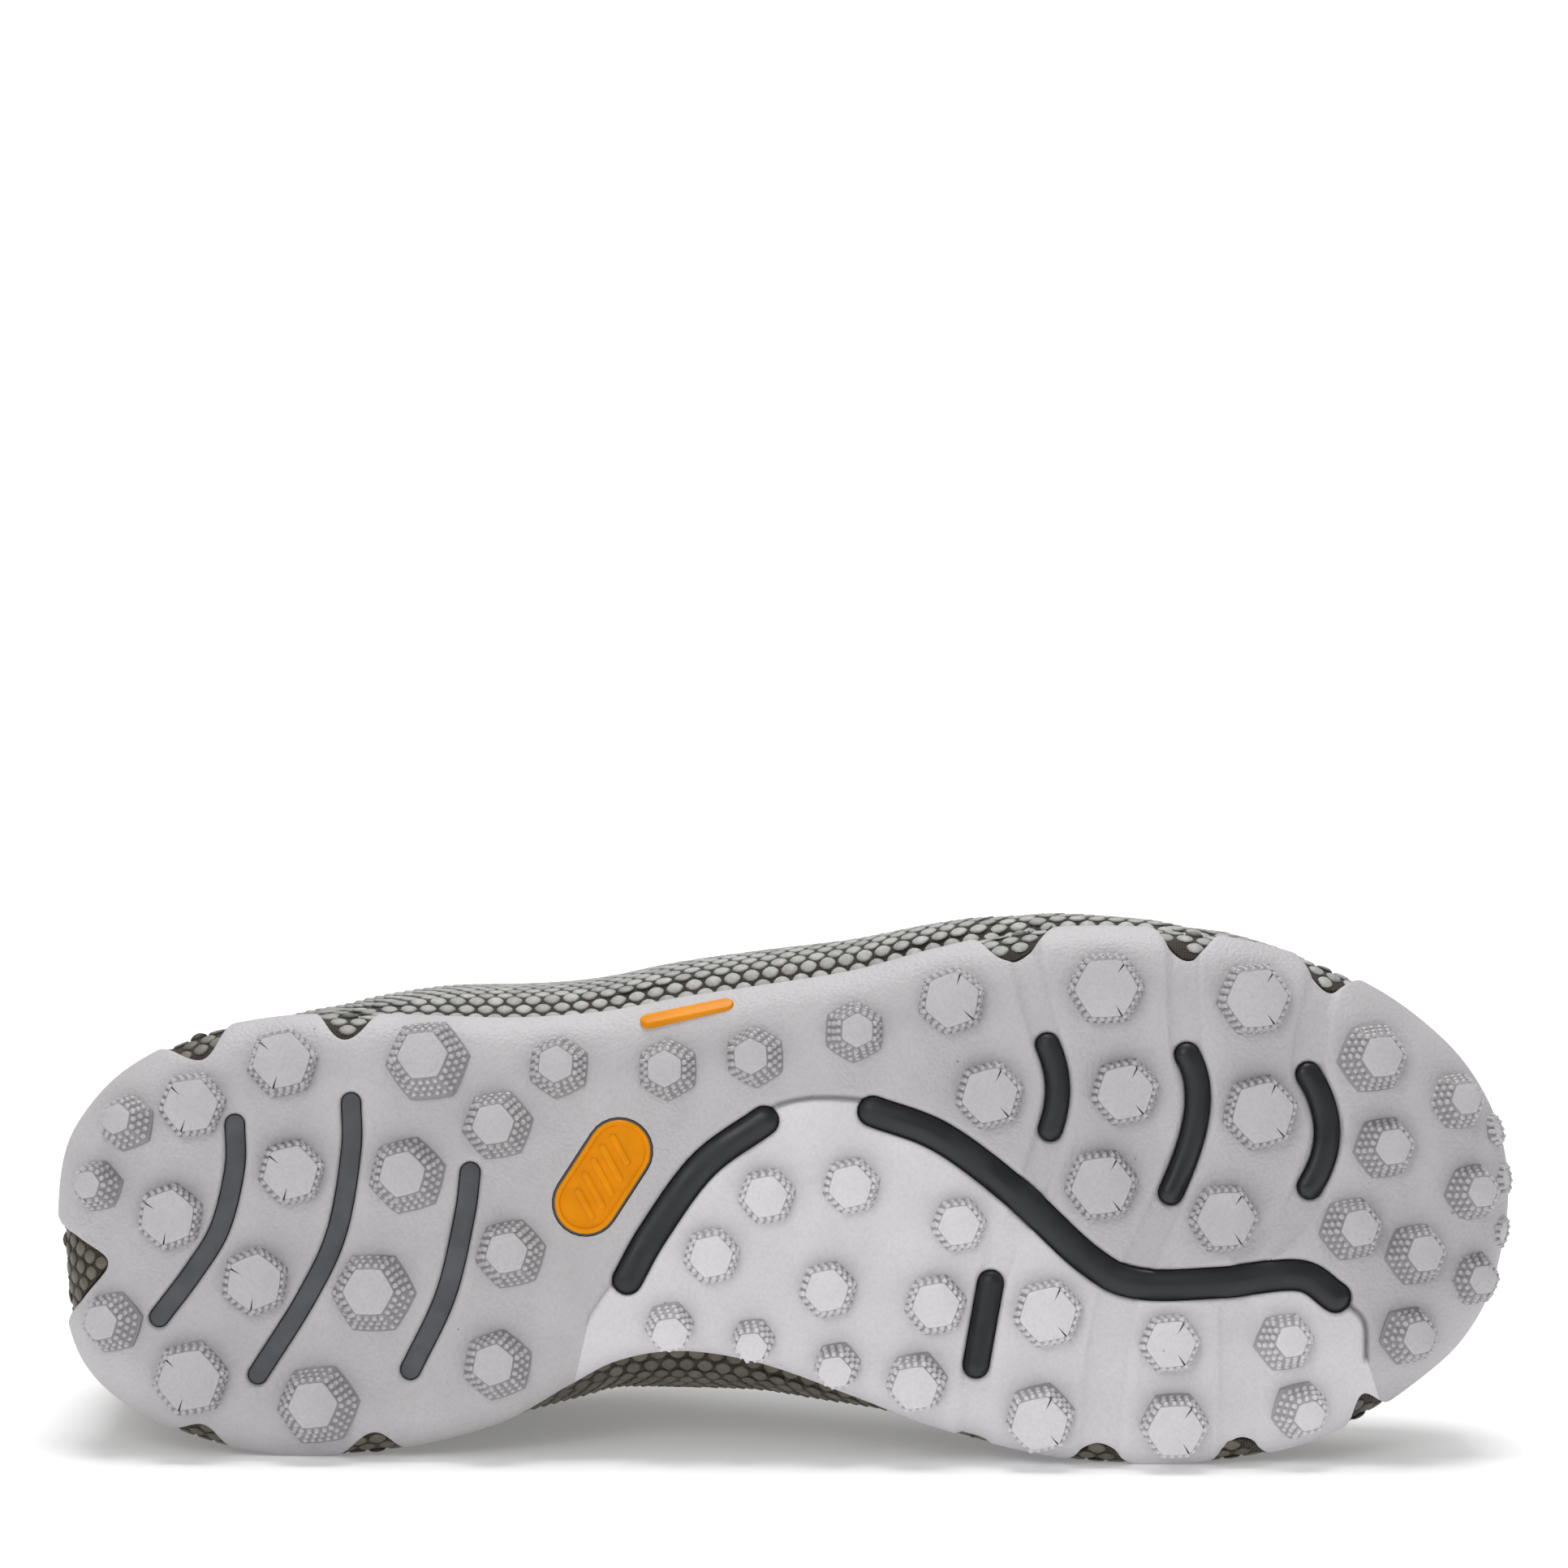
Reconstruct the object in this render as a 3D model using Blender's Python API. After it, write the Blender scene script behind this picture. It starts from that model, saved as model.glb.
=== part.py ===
"""Trail running shoe for the right foot, lying on its medial side.

Every form is worked out standing, with +X from heel to toe, +Y to the medial side and +Z up
from the ground, and the whole shoe is then laid down so that its sole faces -Y. Metres.
"""

import math

import bmesh
import bpy
import numpy as np
from mathutils import Matrix, Vector

# Driving sizes of the sole
LENGTH = 0.298
BALL_WIDTH = 0.1116
LUG_HEIGHT = 0.0045
LUG_RADIUS = 0.0075
LUG_ROOT = 0.0012
RUBBER = 0.0025
CURL_RADIUS = 0.011
RIM_SETBACK = 0.0004
TOE_SPRING = 0.015
HEEL_BEVEL = 0.006
ARCH_RISE = 0.0015
HEEL_STACK = 0.028
BALL_STACK = 0.022
GAP = 0.0003

# Driving sizes of the upper and what it holds
UPPER_SETBACK = 0.0009
WALL = 0.002
COLLAR_PAD = 0.004
COLLAR_HEIGHT = 0.098
INSTEP_HEIGHT = 0.106
NOTCH_DENT = 0.0015
INSOLE = 0.004
EYESTAY = 0.0012
EYESTAY_WIDTH = 0.013
EYESTAY_LIFT = 0.00045
THROAT_WIDTH = 0.034
TONGUE = 0.004
TONGUE_WIDTH = 0.05
TONGUE_CLEARANCE = 0.0012
LACE_RADIUS = 0.0014
LACE_LIFT = 0.001
LACE_ROWS = 6

# Stretches of the ridge, as shares of LENGTH
TONGUE_SPAN = (0.40, 0.66)
EYESTAY_SPAN = (0.415, 0.67)
LACE_SPAN = (0.40, 0.68)
EYELETS = (0.625, 0.445)
EYESTAY_STEPS = 9

# The badge set into the sole
BADGE_LENGTH = 0.0266
BADGE_WIDTH = 0.014
BADGE_DEPTH = 0.0012
BADGE_PROUD = 0.0003
BADGE_TURN = math.radians(123.0)

# Where the sole's underside leaves its plane, and where its stack thins, as shares of LENGTH
TOE_START = 0.74
HEEL_END = 0.11
ARCH_PLACE = 0.44
ARCH_SPAN = 0.3
STACK_SPAN = (0.25, 0.65)

# Where the collar's padding fades, as shares of LENGTH and COLLAR_HEIGHT, and how sharply
PAD_FRONT = 0.38
PAD_FRONT_FADE = 60
PAD_FOOT = 0.58
PAD_FOOT_FADE = 24

# Where the spine of the sole starts and ends, from the heel and from the toe
HEEL_FAN = 0.042
TOE_FAN = 0.040

# Points along each side of the outline, closer together by NOTCH_DENSITY at a notch
HALF = 44
NOTCH_DENSITY = 2.2
PEAK = 0.28
CURL_SHARES = (0.0, 0.35, 0.7, 1.0)
ROW_SHARES = (0.2, 0.45, 0.7, 0.88, 0.97, 1.0)

# The sole's outline. along is a share of LENGTH, lateral and medial are shares of BALL_WIDTH.
OUTLINE_COLUMNS = ("along", "lateral", "medial")
OUTLINE = (
    (0.000, 0.03, 0.03),
    (0.004, -0.10, 0.16),
    (0.018, -0.185, 0.275),
    (0.048, -0.27, 0.355),
    (0.095, -0.335, 0.415),
    (0.145, -0.365, 0.443),
    (0.195, -0.373, 0.446),
    (0.250, -0.37, 0.427),
    (0.305, -0.365, 0.385),
    (0.350, -0.37, 0.318),
    (0.385, -0.38, 0.272),
    (0.430, -0.403, 0.255),
    (0.485, -0.425, 0.278),
    (0.547, -0.452, 0.336),
    (0.603, -0.492, 0.393),
    (0.660, -0.525, 0.435),
    (0.710, -0.535, 0.457),
    (0.765, -0.53, 0.461),
    (0.815, -0.51, 0.451),
    (0.860, -0.477, 0.425),
    (0.900, -0.43, 0.376),
    (0.933, -0.373, 0.316),
    (0.964, -0.297, 0.24),
    (0.985, -0.212, 0.15),
    (0.996, -0.13, 0.055),
    (1.000, -0.04, -0.04),
)

# The upper from heel to toe. crown is a share of INSTEP_HEIGHT, the ridge's shift to the
# medial side and both bulges are shares of BALL_WIDTH, and square is 2 for a round section.
UPPER_COLUMNS = ("along", "crown", "ridge", "lateral_bulge", "medial_bulge", "square")
UPPER = (
    (0.00, 1.22, 0.00, -0.02, -0.05, 2.6),
    (0.15, 1.24, 0.00, -0.01, -0.06, 2.6),
    (0.28, 1.24, 0.00, 0.04, -0.04, 2.6),
    (0.36, 1.16, 0.00, 0.05, 0.02, 2.5),
    (0.42, 1.00, 0.00, 0.06, 0.06, 2.4),
    (0.50, 0.86, 0.01, 0.06, 0.05, 2.3),
    (0.60, 0.72, 0.02, 0.05, -0.01, 2.2),
    (0.72, 0.62, 0.03, 0.03, -0.05, 2.2),
    (0.84, 0.56, 0.03, 0.01, -0.05, 2.3),
    (0.92, 0.53, 0.02, -0.01, -0.03, 2.4),
    (1.00, 0.50, 0.00, 0.00, 0.00, 2.4),
)

# The collar's edge seen from the side. height is a share of COLLAR_HEIGHT.
TOPLINE_COLUMNS = ("along", "height")
TOPLINE = (
    (-0.08, 1.03),
    (0.00, 1.02),
    (0.04, 0.98),
    (0.10, 0.86),
    (0.17, 0.77),
    (0.25, 0.73),
    (0.32, 0.80),
    (0.37, 0.94),
    (0.41, 1.12),
)

# The throat from above. half is a share of THROAT_WIDTH.
THROAT_COLUMNS = ("along", "half")
THROAT = (
    (0.36, 0.56),
    (0.42, 0.50),
    (0.50, 0.44),
    (0.58, 0.37),
    (0.62, 0.26),
    (0.635, 0.10),
)

# Notches in the curled edge. side is -1 lateral and 1 medial, depth and half_width in metres.
NOTCH_COLUMNS = ("along", "side", "depth", "half_width")
NOTCHES = (
    (0.095, -1, 0.0048, 0.0085),
    (0.199, -1, 0.0048, 0.0070),
    (0.659, -1, 0.0052, 0.0090),
    (0.776, -1, 0.0052, 0.0075),
    (0.874, -1, 0.0040, 0.0080),
    (0.001, 1, 0.0096, 0.0115),
    (0.098, 1, 0.0032, 0.0075),
    (0.216, 1, 0.0042, 0.0075),
    (0.717, 1, 0.0034, 0.0075),
    (0.813, 1, 0.0038, 0.0070),
    (0.903, 1, 0.0042, 0.0055),
)

# Slots and grooves through the rubber. Each row is a width and its centre line, whose
# points are shares of LENGTH and BALL_WIDTH.
SLOTS = {
    "heel_a": (0.0042, ((0.122, -0.170), (0.122, -0.09), (0.112, 0.02), (0.094, 0.10), (0.070, 0.185))),
    "heel_b": (0.0042, ((0.202, -0.210), (0.202, -0.12), (0.192, 0.03), (0.171, 0.15), (0.138, 0.290))),
    "heel_c": (0.0043, ((0.284, -0.082), (0.280, 0.00), (0.267, 0.145), (0.243, 0.281))),
    "shank": (0.0063, ((0.392, 0.116), (0.410, 0.03), (0.444, -0.094), (0.486, -0.176))),
    "ball": (
        0.0065,
        (
            (0.561, -0.194),
            (0.608, -0.146),
            (0.659, -0.045),
            (0.709, 0.078),
            (0.743, 0.122),
            (0.799, 0.121),
            (0.854, 0.108),
            (0.880, 0.149),
        ),
    ),
    "fore_a": (0.0050, ((0.681, -0.316), (0.688, -0.24), (0.683, -0.161))),
    "fore_b": (0.0052, ((0.777, -0.298), (0.784, -0.194), (0.766, -0.045))),
    "fore_c": (0.0053, ((0.861, -0.261), (0.874, -0.157), (0.862, -0.055))),
    "medial": (0.0055, ((0.642, 0.122), (0.632, 0.272))),
}
FOAM_RIBS = ("heel_a", "heel_b", "heel_c")
FOAM_RIB_SETBACK = 0.0008

# The seam between the grey rubber and the white insert, before, between and after the
# shank and ball grooves, and the far corners outside the sole.
SEAM_BEFORE = ((0.350, 0.60), (0.354, 0.31), (0.380, 0.13))
SEAM_BETWEEN = ((0.494, -0.203), (0.519, -0.218), (0.552, -0.215))
SEAM_AFTER = ((0.899, 0.19), (0.913, 0.316), (0.930, 0.60))

# Lugs. size is a share of LUG_RADIUS, face is the share of it left at the tread.
BLOCK = 0.86
BEVELLED = 0.68
POINTED = 0.58
FLAT = 0.80
LUG_COLUMNS = ("along", "across", "size", "face")
LUGS = (
    (0.048, -0.172, 0.80, POINTED),
    (0.093, -0.205, 0.95, BLOCK),
    (0.028, -0.055, 0.74, POINTED),
    (0.155, -0.282, 1.00, BLOCK),
    (0.078, 0.000, 0.95, BLOCK),
    (0.161, -0.082, 0.95, BLOCK),
    (0.255, -0.287, 1.18, BEVELLED),
    (0.241, -0.076, 1.10, BEVELLED),
    (0.303, -0.168, 1.00, BEVELLED),
    (0.345, -0.275, 0.88, BEVELLED),
    (0.038, 0.195, 0.88, BEVELLED),
    (0.092, 0.298, 1.08, BLOCK),
    (0.136, 0.119, 0.97, BLOCK),
    (0.218, 0.140, 1.18, BEVELLED),
    (0.180, 0.346, 1.16, BEVELLED),
    (0.303, 0.272, 1.00, BEVELLED),
    (0.312, 0.068, 1.00, BEVELLED),
    (0.420, -0.270, 0.88, BEVELLED),
    (0.480, -0.293, 0.86, BEVELLED),
    (0.548, -0.340, 0.87, POINTED),
    (0.615, -0.397, 0.96, BLOCK),
    (0.641, -0.224, 0.97, BLOCK),
    (0.721, -0.420, 1.07, BLOCK),
    (0.734, -0.230, 0.97, BLOCK),
    (0.718, -0.059, 1.04, BLOCK),
    (0.823, -0.400, 1.06, BLOCK),
    (0.827, -0.192, 1.08, BLOCK),
    (0.802, 0.003, 1.00, BLOCK),
    (0.905, -0.291, 1.02, BEVELLED),
    (0.963, -0.209, 0.85, POINTED),
    (0.913, -0.126, 0.90, BEVELLED),
    (0.974, -0.042, 0.83, POINTED),
    (0.890, 0.023, 0.92, BEVELLED),
    (0.935, 0.071, 0.90, BEVELLED),
    (0.975, 0.118, 0.80, POINTED),
    (0.930, 0.221, 0.85, BEVELLED),
    (0.488, -0.038, 0.81, FLAT),
    (0.546, -0.057, 0.82, FLAT),
    (0.450, 0.072, 0.81, FLAT),
    (0.620, 0.014, 0.78, FLAT),
    (0.530, 0.134, 0.82, FLAT),
    (0.604, 0.161, 0.88, FLAT),
    (0.421, 0.200, 0.70, FLAT),
    (0.479, 0.224, 0.62, FLAT),
    (0.537, 0.270, 0.66, FLAT),
    (0.591, 0.303, 0.87, FLAT),
    (0.681, 0.177, 0.98, BLOCK),
    (0.676, 0.368, 0.98, BLOCK),
    (0.765, 0.232, 0.86, BLOCK),
    (0.768, 0.382, 0.96, BLOCK),
    (0.844, 0.230, 0.85, POINTED),
    (0.855, 0.357, 0.84, POINTED),
)
LUG_SIDES = 6
BADGE_PLACE = (0.375, -0.073)

# Roughness and colour of each material, linear
GREY_RUBBER = ((0.50, 0.485, 0.50), 0.6)
WHITE_RUBBER = ((0.67, 0.65, 0.67), 0.55)
DARK_FOAM = ((0.045, 0.052, 0.06), 0.5)
MESH_CLOTH = ((0.30, 0.31, 0.28), 0.85)
DARK_CLOTH = ((0.03, 0.03, 0.032), 0.9)
ORANGE = ((0.90, 0.33, 0.01), 0.4)
LACE_CORD = ((0.20, 0.20, 0.17), 0.9)

PARTS = "trail_running_shoe"


def column(table: tuple, names: tuple, name: str) -> np.ndarray:
    """One named column of a table."""
    place = names.index(name)
    return np.array([row[place] for row in table], dtype=float)


def named_rows(table: tuple, names: tuple) -> list:
    """A table's rows, each as a dict by column name."""
    return [dict(zip(names, row)) for row in table]


def smooth_through(xs: np.ndarray, ys: np.ndarray, x: np.ndarray) -> np.ndarray:
    """A smooth curve y(x) through points that rise in x, flat past both ends."""
    slopes = np.gradient(ys, xs)
    x = np.clip(x, xs[0], xs[-1])
    place = np.clip(np.searchsorted(xs, x) - 1, 0, len(xs) - 2)
    width = xs[place + 1] - xs[place]
    t = (x - xs[place]) / width
    start = (2 * t**3 - 3 * t**2 + 1) * ys[place] + (t**3 - 2 * t**2 + t) * width * slopes[place]
    end = (3 * t**2 - 2 * t**3) * ys[place + 1] + (t**3 - t**2) * width * slopes[place + 1]
    return start + end


def upper_value(name: str, x: np.ndarray) -> np.ndarray:
    """A column of the upper's table at a length x."""
    along = column(UPPER, UPPER_COLUMNS, "along") * LENGTH
    return smooth_through(along, column(UPPER, UPPER_COLUMNS, name), x)


def catmull_rom(points: np.ndarray, steps: int) -> np.ndarray:
    """A smooth open line through points, with steps pieces to each span."""
    ends = np.vstack([2 * points[0] - points[1], points, 2 * points[-1] - points[-2]])
    line = []
    for a, b, c, d in zip(ends, ends[1:], ends[2:], ends[3:]):
        for t in np.arange(steps) / steps:
            line.append(
                0.5 * (2 * b + (c - a) * t + (2 * a - 5 * b + 4 * c - d) * t**2 + (3 * b - a - 3 * c + d) * t**3)
            )
    line.append(points[-1])
    return np.array(line)


def notch_centre(line: np.ndarray, along: float) -> np.ndarray:
    """The place of a notch on one side of the outline."""
    return line[np.argmin(np.abs(line[:, 0] - along * LENGTH))]


def spread(line: np.ndarray, side: int, count: int) -> np.ndarray:
    """count + 1 points along one side of the outline, closer together at its notches."""
    pieces = np.linalg.norm(np.diff(line, axis=0), axis=1)
    middles = 0.5 * (line[1:] + line[:-1])
    weight = np.ones(len(pieces))
    for notch in named_rows(NOTCHES, NOTCH_COLUMNS):
        if notch["side"] != side:
            continue
        away = np.linalg.norm(middles - notch_centre(line, notch["along"]), axis=1)
        weight = np.where(away < 1.2 * notch["half_width"], NOTCH_DENSITY, weight)
    run = np.concatenate([[0.0], np.cumsum(pieces * weight)])
    steps = np.linspace(0.0, run[-1], count + 1)
    return np.stack([np.interp(steps, run, line[:, k]) for k in range(line.shape[1])], axis=1)


def full_outline() -> np.ndarray:
    """The whole outline from the heel, round the lateral side, the toe and the medial side."""
    along = column(OUTLINE, OUTLINE_COLUMNS, "along") * LENGTH
    lateral = column(OUTLINE, OUTLINE_COLUMNS, "lateral") * BALL_WIDTH
    medial = column(OUTLINE, OUTLINE_COLUMNS, "medial") * BALL_WIDTH
    there = np.stack([along, lateral], axis=1)
    back = np.stack([along, medial], axis=1)[-2:0:-1]
    return np.vstack([there, back])


class Loop:
    """Points around the sole, each with the spine point it faces.

    base is the outline, spine the middle line, inward the step to the spine for a metre of
    distance from the edge, side -1 lateral and 1 medial.
    """

    def __init__(self, half: int):
        rows = full_outline()
        closed = np.vstack([rows[-1:], rows, rows[:2]])
        curve = catmull_rom(closed, 12)[12:-12]
        toe = 12 * (len(OUTLINE) - 1)
        lateral = spread(curve[: toe + 1], -1, half)
        medial = spread(curve[toe:][::-1], 1, half)
        middle = 0.5 * (lateral + medial)
        first, last = HEEL_FAN, LENGTH - TOE_FAN
        x = np.clip(middle[:, 0], first, last)
        spine = np.stack([x, np.interp(x, middle[:, 0], middle[:, 1])], axis=1)
        self.half = half
        self.base = np.vstack([lateral, medial[-2:0:-1]])
        self.spine = np.vstack([spine, spine[-2:0:-1]])
        self.side = np.array([-1.0] * (half + 1) + [1.0] * (half - 1))
        tangent = np.roll(self.base, -1, axis=0) - np.roll(self.base, 1, axis=0)
        normal = np.stack([-tangent[:, 1], tangent[:, 0]], axis=1)
        normal /= np.linalg.norm(normal, axis=1)[:, None]
        across = self.spine - self.base
        self.reach = np.linalg.norm(across, axis=1)
        facing = np.sum(across / self.reach[:, None] * normal, axis=1)
        self.outward = -normal * np.sign(facing)[:, None]
        self.inward = across / self.reach[:, None] / np.maximum(np.abs(facing), 0.5)[:, None]
        self.rim = self.rim_angle()

    def notch_depth(self) -> np.ndarray:
        """How far the curled edge is cut back at each point."""
        depth = np.full(len(self.base), RIM_SETBACK)
        for notch in named_rows(NOTCHES, NOTCH_COLUMNS):
            same = self.side == notch["side"]
            off = np.where(same, np.abs(self.base[:, 0] - notch["along"] * LENGTH), np.inf)
            centre = self.base[np.argmin(off)]
            away = np.linalg.norm(self.base - centre, axis=1) / notch["half_width"]
            depth += notch["depth"] * 0.5 * (1 + np.cos(np.pi * np.clip(away, 0.0, 1.0)))
        return depth

    def rim_angle(self) -> np.ndarray:
        """The angle around the curl where the rubber ends."""
        return np.arcsin(np.clip(1 - self.notch_depth() / CURL_RADIUS, 0.02, 1.0))


def ground(x: np.ndarray) -> np.ndarray:
    """Height of the tread's plane over the floor: heel bevel, arch and toe spring."""
    share = np.asarray(x) / LENGTH
    toe = TOE_SPRING * np.clip((share - TOE_START) / (1 - TOE_START), 0.0, None) ** 2
    heel = HEEL_BEVEL * np.clip((HEEL_END - share) / HEEL_END, 0.0, None) ** 2
    arch = ARCH_RISE * np.cos(np.pi * np.clip((share - ARCH_PLACE) / ARCH_SPAN, -0.5, 0.5)) ** 2
    return toe + heel + arch


def stack(x: np.ndarray) -> np.ndarray:
    """Thickness of sole under the insole, over the tread's plane."""
    start, end = STACK_SPAN
    share = np.clip((np.asarray(x) / LENGTH - start) / (end - start), 0.0, 1.0)
    ease = share**2 * (3 - 2 * share)
    return HEEL_STACK + (BALL_STACK - HEEL_STACK) * ease


def curl_ring(loop: Loop, radius: float, angle: np.ndarray) -> np.ndarray:
    """A ring around the quarter-round edge of the sole."""
    inset = CURL_RADIUS - radius * np.sin(angle)
    place = loop.base + loop.inward * inset[:, None]
    height = ground(place[:, 0]) + LUG_HEIGHT + CURL_RADIUS - radius * np.cos(angle)
    return np.column_stack([place, height])


def floor_ring(loop: Loop, share: float, over: float) -> np.ndarray:
    """A ring on the flat of the sole, share 0 at the curl and 1 at the spine."""
    edge = loop.base + loop.inward * CURL_RADIUS
    place = edge + (loop.spine - edge) * share
    return np.column_stack([place, ground(place[:, 0]) + LUG_HEIGHT + over])


def rise_to(loop: Loop, over: float, lower: float) -> np.ndarray:
    """The share of the section's height that reaches the footbed and a little over it."""
    spring, crown, _ = section(loop)
    height = ground(loop.base[:, 0]) + stack(loop.base[:, 0]) + over
    return np.clip((height - spring) / (crown - lower - spring), 0.0, 1.0)


def section(loop: Loop) -> tuple:
    """Spring height, crown height and squareness of the section at each point."""
    spring = ground(loop.base[:, 0]) + LUG_HEIGHT + CURL_RADIUS
    crown = upper_value("crown", loop.spine[:, 0]) * INSTEP_HEIGHT
    return spring, crown, upper_value("square", loop.spine[:, 0])


def dome_ring(loop: Loop, rise: np.ndarray, inset: np.ndarray, lower: float) -> np.ndarray:
    """A ring around the upper. inset moves it in from the side and lower from the crown."""
    spring, crown, square = section(loop)
    closing = 1 - (1 - rise**square) ** (1 / square)
    ridge = loop.spine.copy()
    ridge[:, 1] += upper_value("ridge", ridge[:, 0]) * BALL_WIDTH
    lateral = upper_value("lateral_bulge", loop.base[:, 0])
    medial = upper_value("medial_bulge", loop.base[:, 0])
    bulge = np.where(loop.side < 0, lateral, medial) * BALL_WIDTH
    middle = 0.5 * (lateral + medial) * BALL_WIDTH
    ends = np.abs(loop.outward[:, 1])
    bulge = middle + (bulge - middle) * ends
    peak = np.log(0.5) / np.log(PEAK)
    swell = bulge * np.sin(np.pi * np.clip(rise, 0.0, 1.0) ** peak)
    dent = NOTCH_DENT * (loop.notch_depth() - RIM_SETBACK) / CURL_RADIUS * 2 * (1 - rise) ** 6
    edge = loop.base + loop.inward * np.reshape(inset, (-1, 1)) + loop.outward * (swell - dent)[:, None]
    place = edge + (ridge - edge) * closing[:, None]
    height = spring + (crown - lower - spring) * rise
    return np.column_stack([place, height])


def link_new(name: str, mesh, collection: str):
    """A new object for a mesh, in a named collection."""
    obj = bpy.data.objects.new(name, mesh)
    if collection not in bpy.data.collections:
        made = bpy.data.collections.new(collection)
        made.hide_render = collection != PARTS
        bpy.context.scene.collection.children.link(made)
    bpy.data.collections[collection].objects.link(obj)
    return obj


def finish_bmesh(name: str, bm, collection: str = PARTS):
    """Welds, turns faces outward and makes the object."""
    bmesh.ops.remove_doubles(bm, verts=bm.verts, dist=2e-6)
    bmesh.ops.dissolve_degenerate(bm, edges=bm.edges, dist=1e-6)
    bmesh.ops.triangulate(bm, faces=bm.faces)
    bmesh.ops.recalc_face_normals(bm, faces=bm.faces)
    mesh = bpy.data.meshes.new(name)
    bm.to_mesh(mesh)
    bm.free()
    return link_new(name, mesh, collection)


def ring_solid(name: str, rings: list, collection: str = PARTS):
    """A closed solid lofted through closed rings, the first and last of which are folded shut."""
    bm = bmesh.new()
    made = [[bm.verts.new(point) for point in ring] for ring in rings]
    for low, high in zip(made, made[1:]):
        count = len(low)
        for k in range(count):
            n = (k + 1) % count
            bm.faces.new((low[k], low[n], high[n], high[k]))
    return finish_bmesh(name, bm, collection)


def slab_solid(name: str, top: np.ndarray, under: np.ndarray, collection: str = PARTS):
    """A closed sheet between two grids of points."""
    bm = bmesh.new()
    rows, cols = top.shape[:2]
    upper = [[bm.verts.new(point) for point in row] for row in top]
    lower = [[bm.verts.new(point) for point in row] for row in under]
    for i in range(rows - 1):
        for j in range(cols - 1):
            for grid in (upper, lower):
                bm.faces.new((grid[i][j], grid[i][j + 1], grid[i + 1][j + 1], grid[i + 1][j]))
    border = [(0, j) for j in range(cols)]
    border += [(i, cols - 1) for i in range(1, rows)]
    border += [(rows - 1, j) for j in range(cols - 2, -1, -1)]
    border += [(i, 0) for i in range(rows - 2, 0, -1)]
    for (a, b), (c, d) in zip(border, border[1:] + border[:1]):
        bm.faces.new((upper[a][b], upper[c][d], lower[c][d], lower[a][b]))
    return finish_bmesh(name, bm, collection)


def prism(name: str, outline: np.ndarray, low: float, high: float, turn=None, collection: str = "cutters"):
    """A flat outline extruded from low to high, then moved by a matrix."""
    bm = bmesh.new()
    face = bm.faces.new([bm.verts.new((x, y, low)) for x, y in outline])
    grown = bmesh.ops.extrude_face_region(bm, geom=[face])
    moved = [item for item in grown["geom"] if isinstance(item, bmesh.types.BMVert)]
    bmesh.ops.translate(bm, verts=moved, vec=(0.0, 0.0, high - low))
    if turn is not None:
        bmesh.ops.transform(bm, matrix=turn, verts=bm.verts)
    return finish_bmesh(name, bm, collection)


def stadium(points: np.ndarray, width: float, steps: int = 3) -> np.ndarray:
    """The outline of a round-ended band of one width along a smooth line."""
    line = catmull_rom(np.asarray(points), 3)
    along = np.gradient(line, axis=0)
    along /= np.linalg.norm(along, axis=1)[:, None]
    across = np.stack([-along[:, 1], along[:, 0]], axis=1) * width / 2

    def end(centre: np.ndarray, arm: np.ndarray) -> list:
        turns = np.linspace(0, -np.pi, steps + 2)[1:-1]
        return [centre + np.array([[np.cos(a), -np.sin(a)], [np.sin(a), np.cos(a)]]) @ arm for a in turns]

    there = list(line + across)
    back = list((line - across)[::-1])
    return np.array(there + end(line[-1], across[-1]) + back + end(line[0], -across[0]))


def sized(points: tuple) -> np.ndarray:
    """Points given as shares of LENGTH and BALL_WIDTH, in metres."""
    return np.array(points, dtype=float) * (LENGTH, BALL_WIDTH)


def slot_outline(name: str, spare: float = 0.0) -> np.ndarray:
    """A slot's outline, narrowed all round by spare."""
    width, points = SLOTS[name]
    return stadium(sized(points), width - 2 * spare)


def joined(name: str, objects: list):
    """Several separate objects as one mesh."""
    bm = bmesh.new()
    for obj in objects:
        bm.from_mesh(obj.data)
    for obj in objects:
        bpy.data.objects.remove(obj)
    mesh = bpy.data.meshes.new(name)
    bm.to_mesh(mesh)
    bm.free()
    return link_new(name, mesh, "cutters")


def combine(obj, other, operation: str):
    """A Boolean of two objects, kept as the first one's mesh."""
    modifier = obj.modifiers.new(operation.lower(), "BOOLEAN")
    modifier.operation = operation
    modifier.solver = "EXACT"
    modifier.object = other
    bpy.context.view_layer.update()
    graph = bpy.context.evaluated_depsgraph_get()
    result = bpy.data.meshes.new_from_object(obj.evaluated_get(graph))
    obj.modifiers.clear()
    obj.data = result
    bpy.data.objects.remove(other)
    return obj


def copy_of(obj, name: str):
    """A second object with its own copy of the mesh."""
    return link_new(name, obj.data.copy(), PARTS)


def edge_distance(place: np.ndarray, outline: np.ndarray) -> float:
    """Distance of a place from the outline."""
    return float(np.min(np.linalg.norm(outline - place, axis=1)))


def tread_height(x: float, y: float, outline: np.ndarray) -> float:
    """Height of the rubber's underside at a place."""
    near = min(edge_distance(np.array([x, y]), outline), CURL_RADIUS)
    curl = CURL_RADIUS - math.sqrt(max(CURL_RADIUS**2 - (CURL_RADIUS - near) ** 2, 0.0))
    return float(ground(x)) + LUG_HEIGHT + curl


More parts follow.
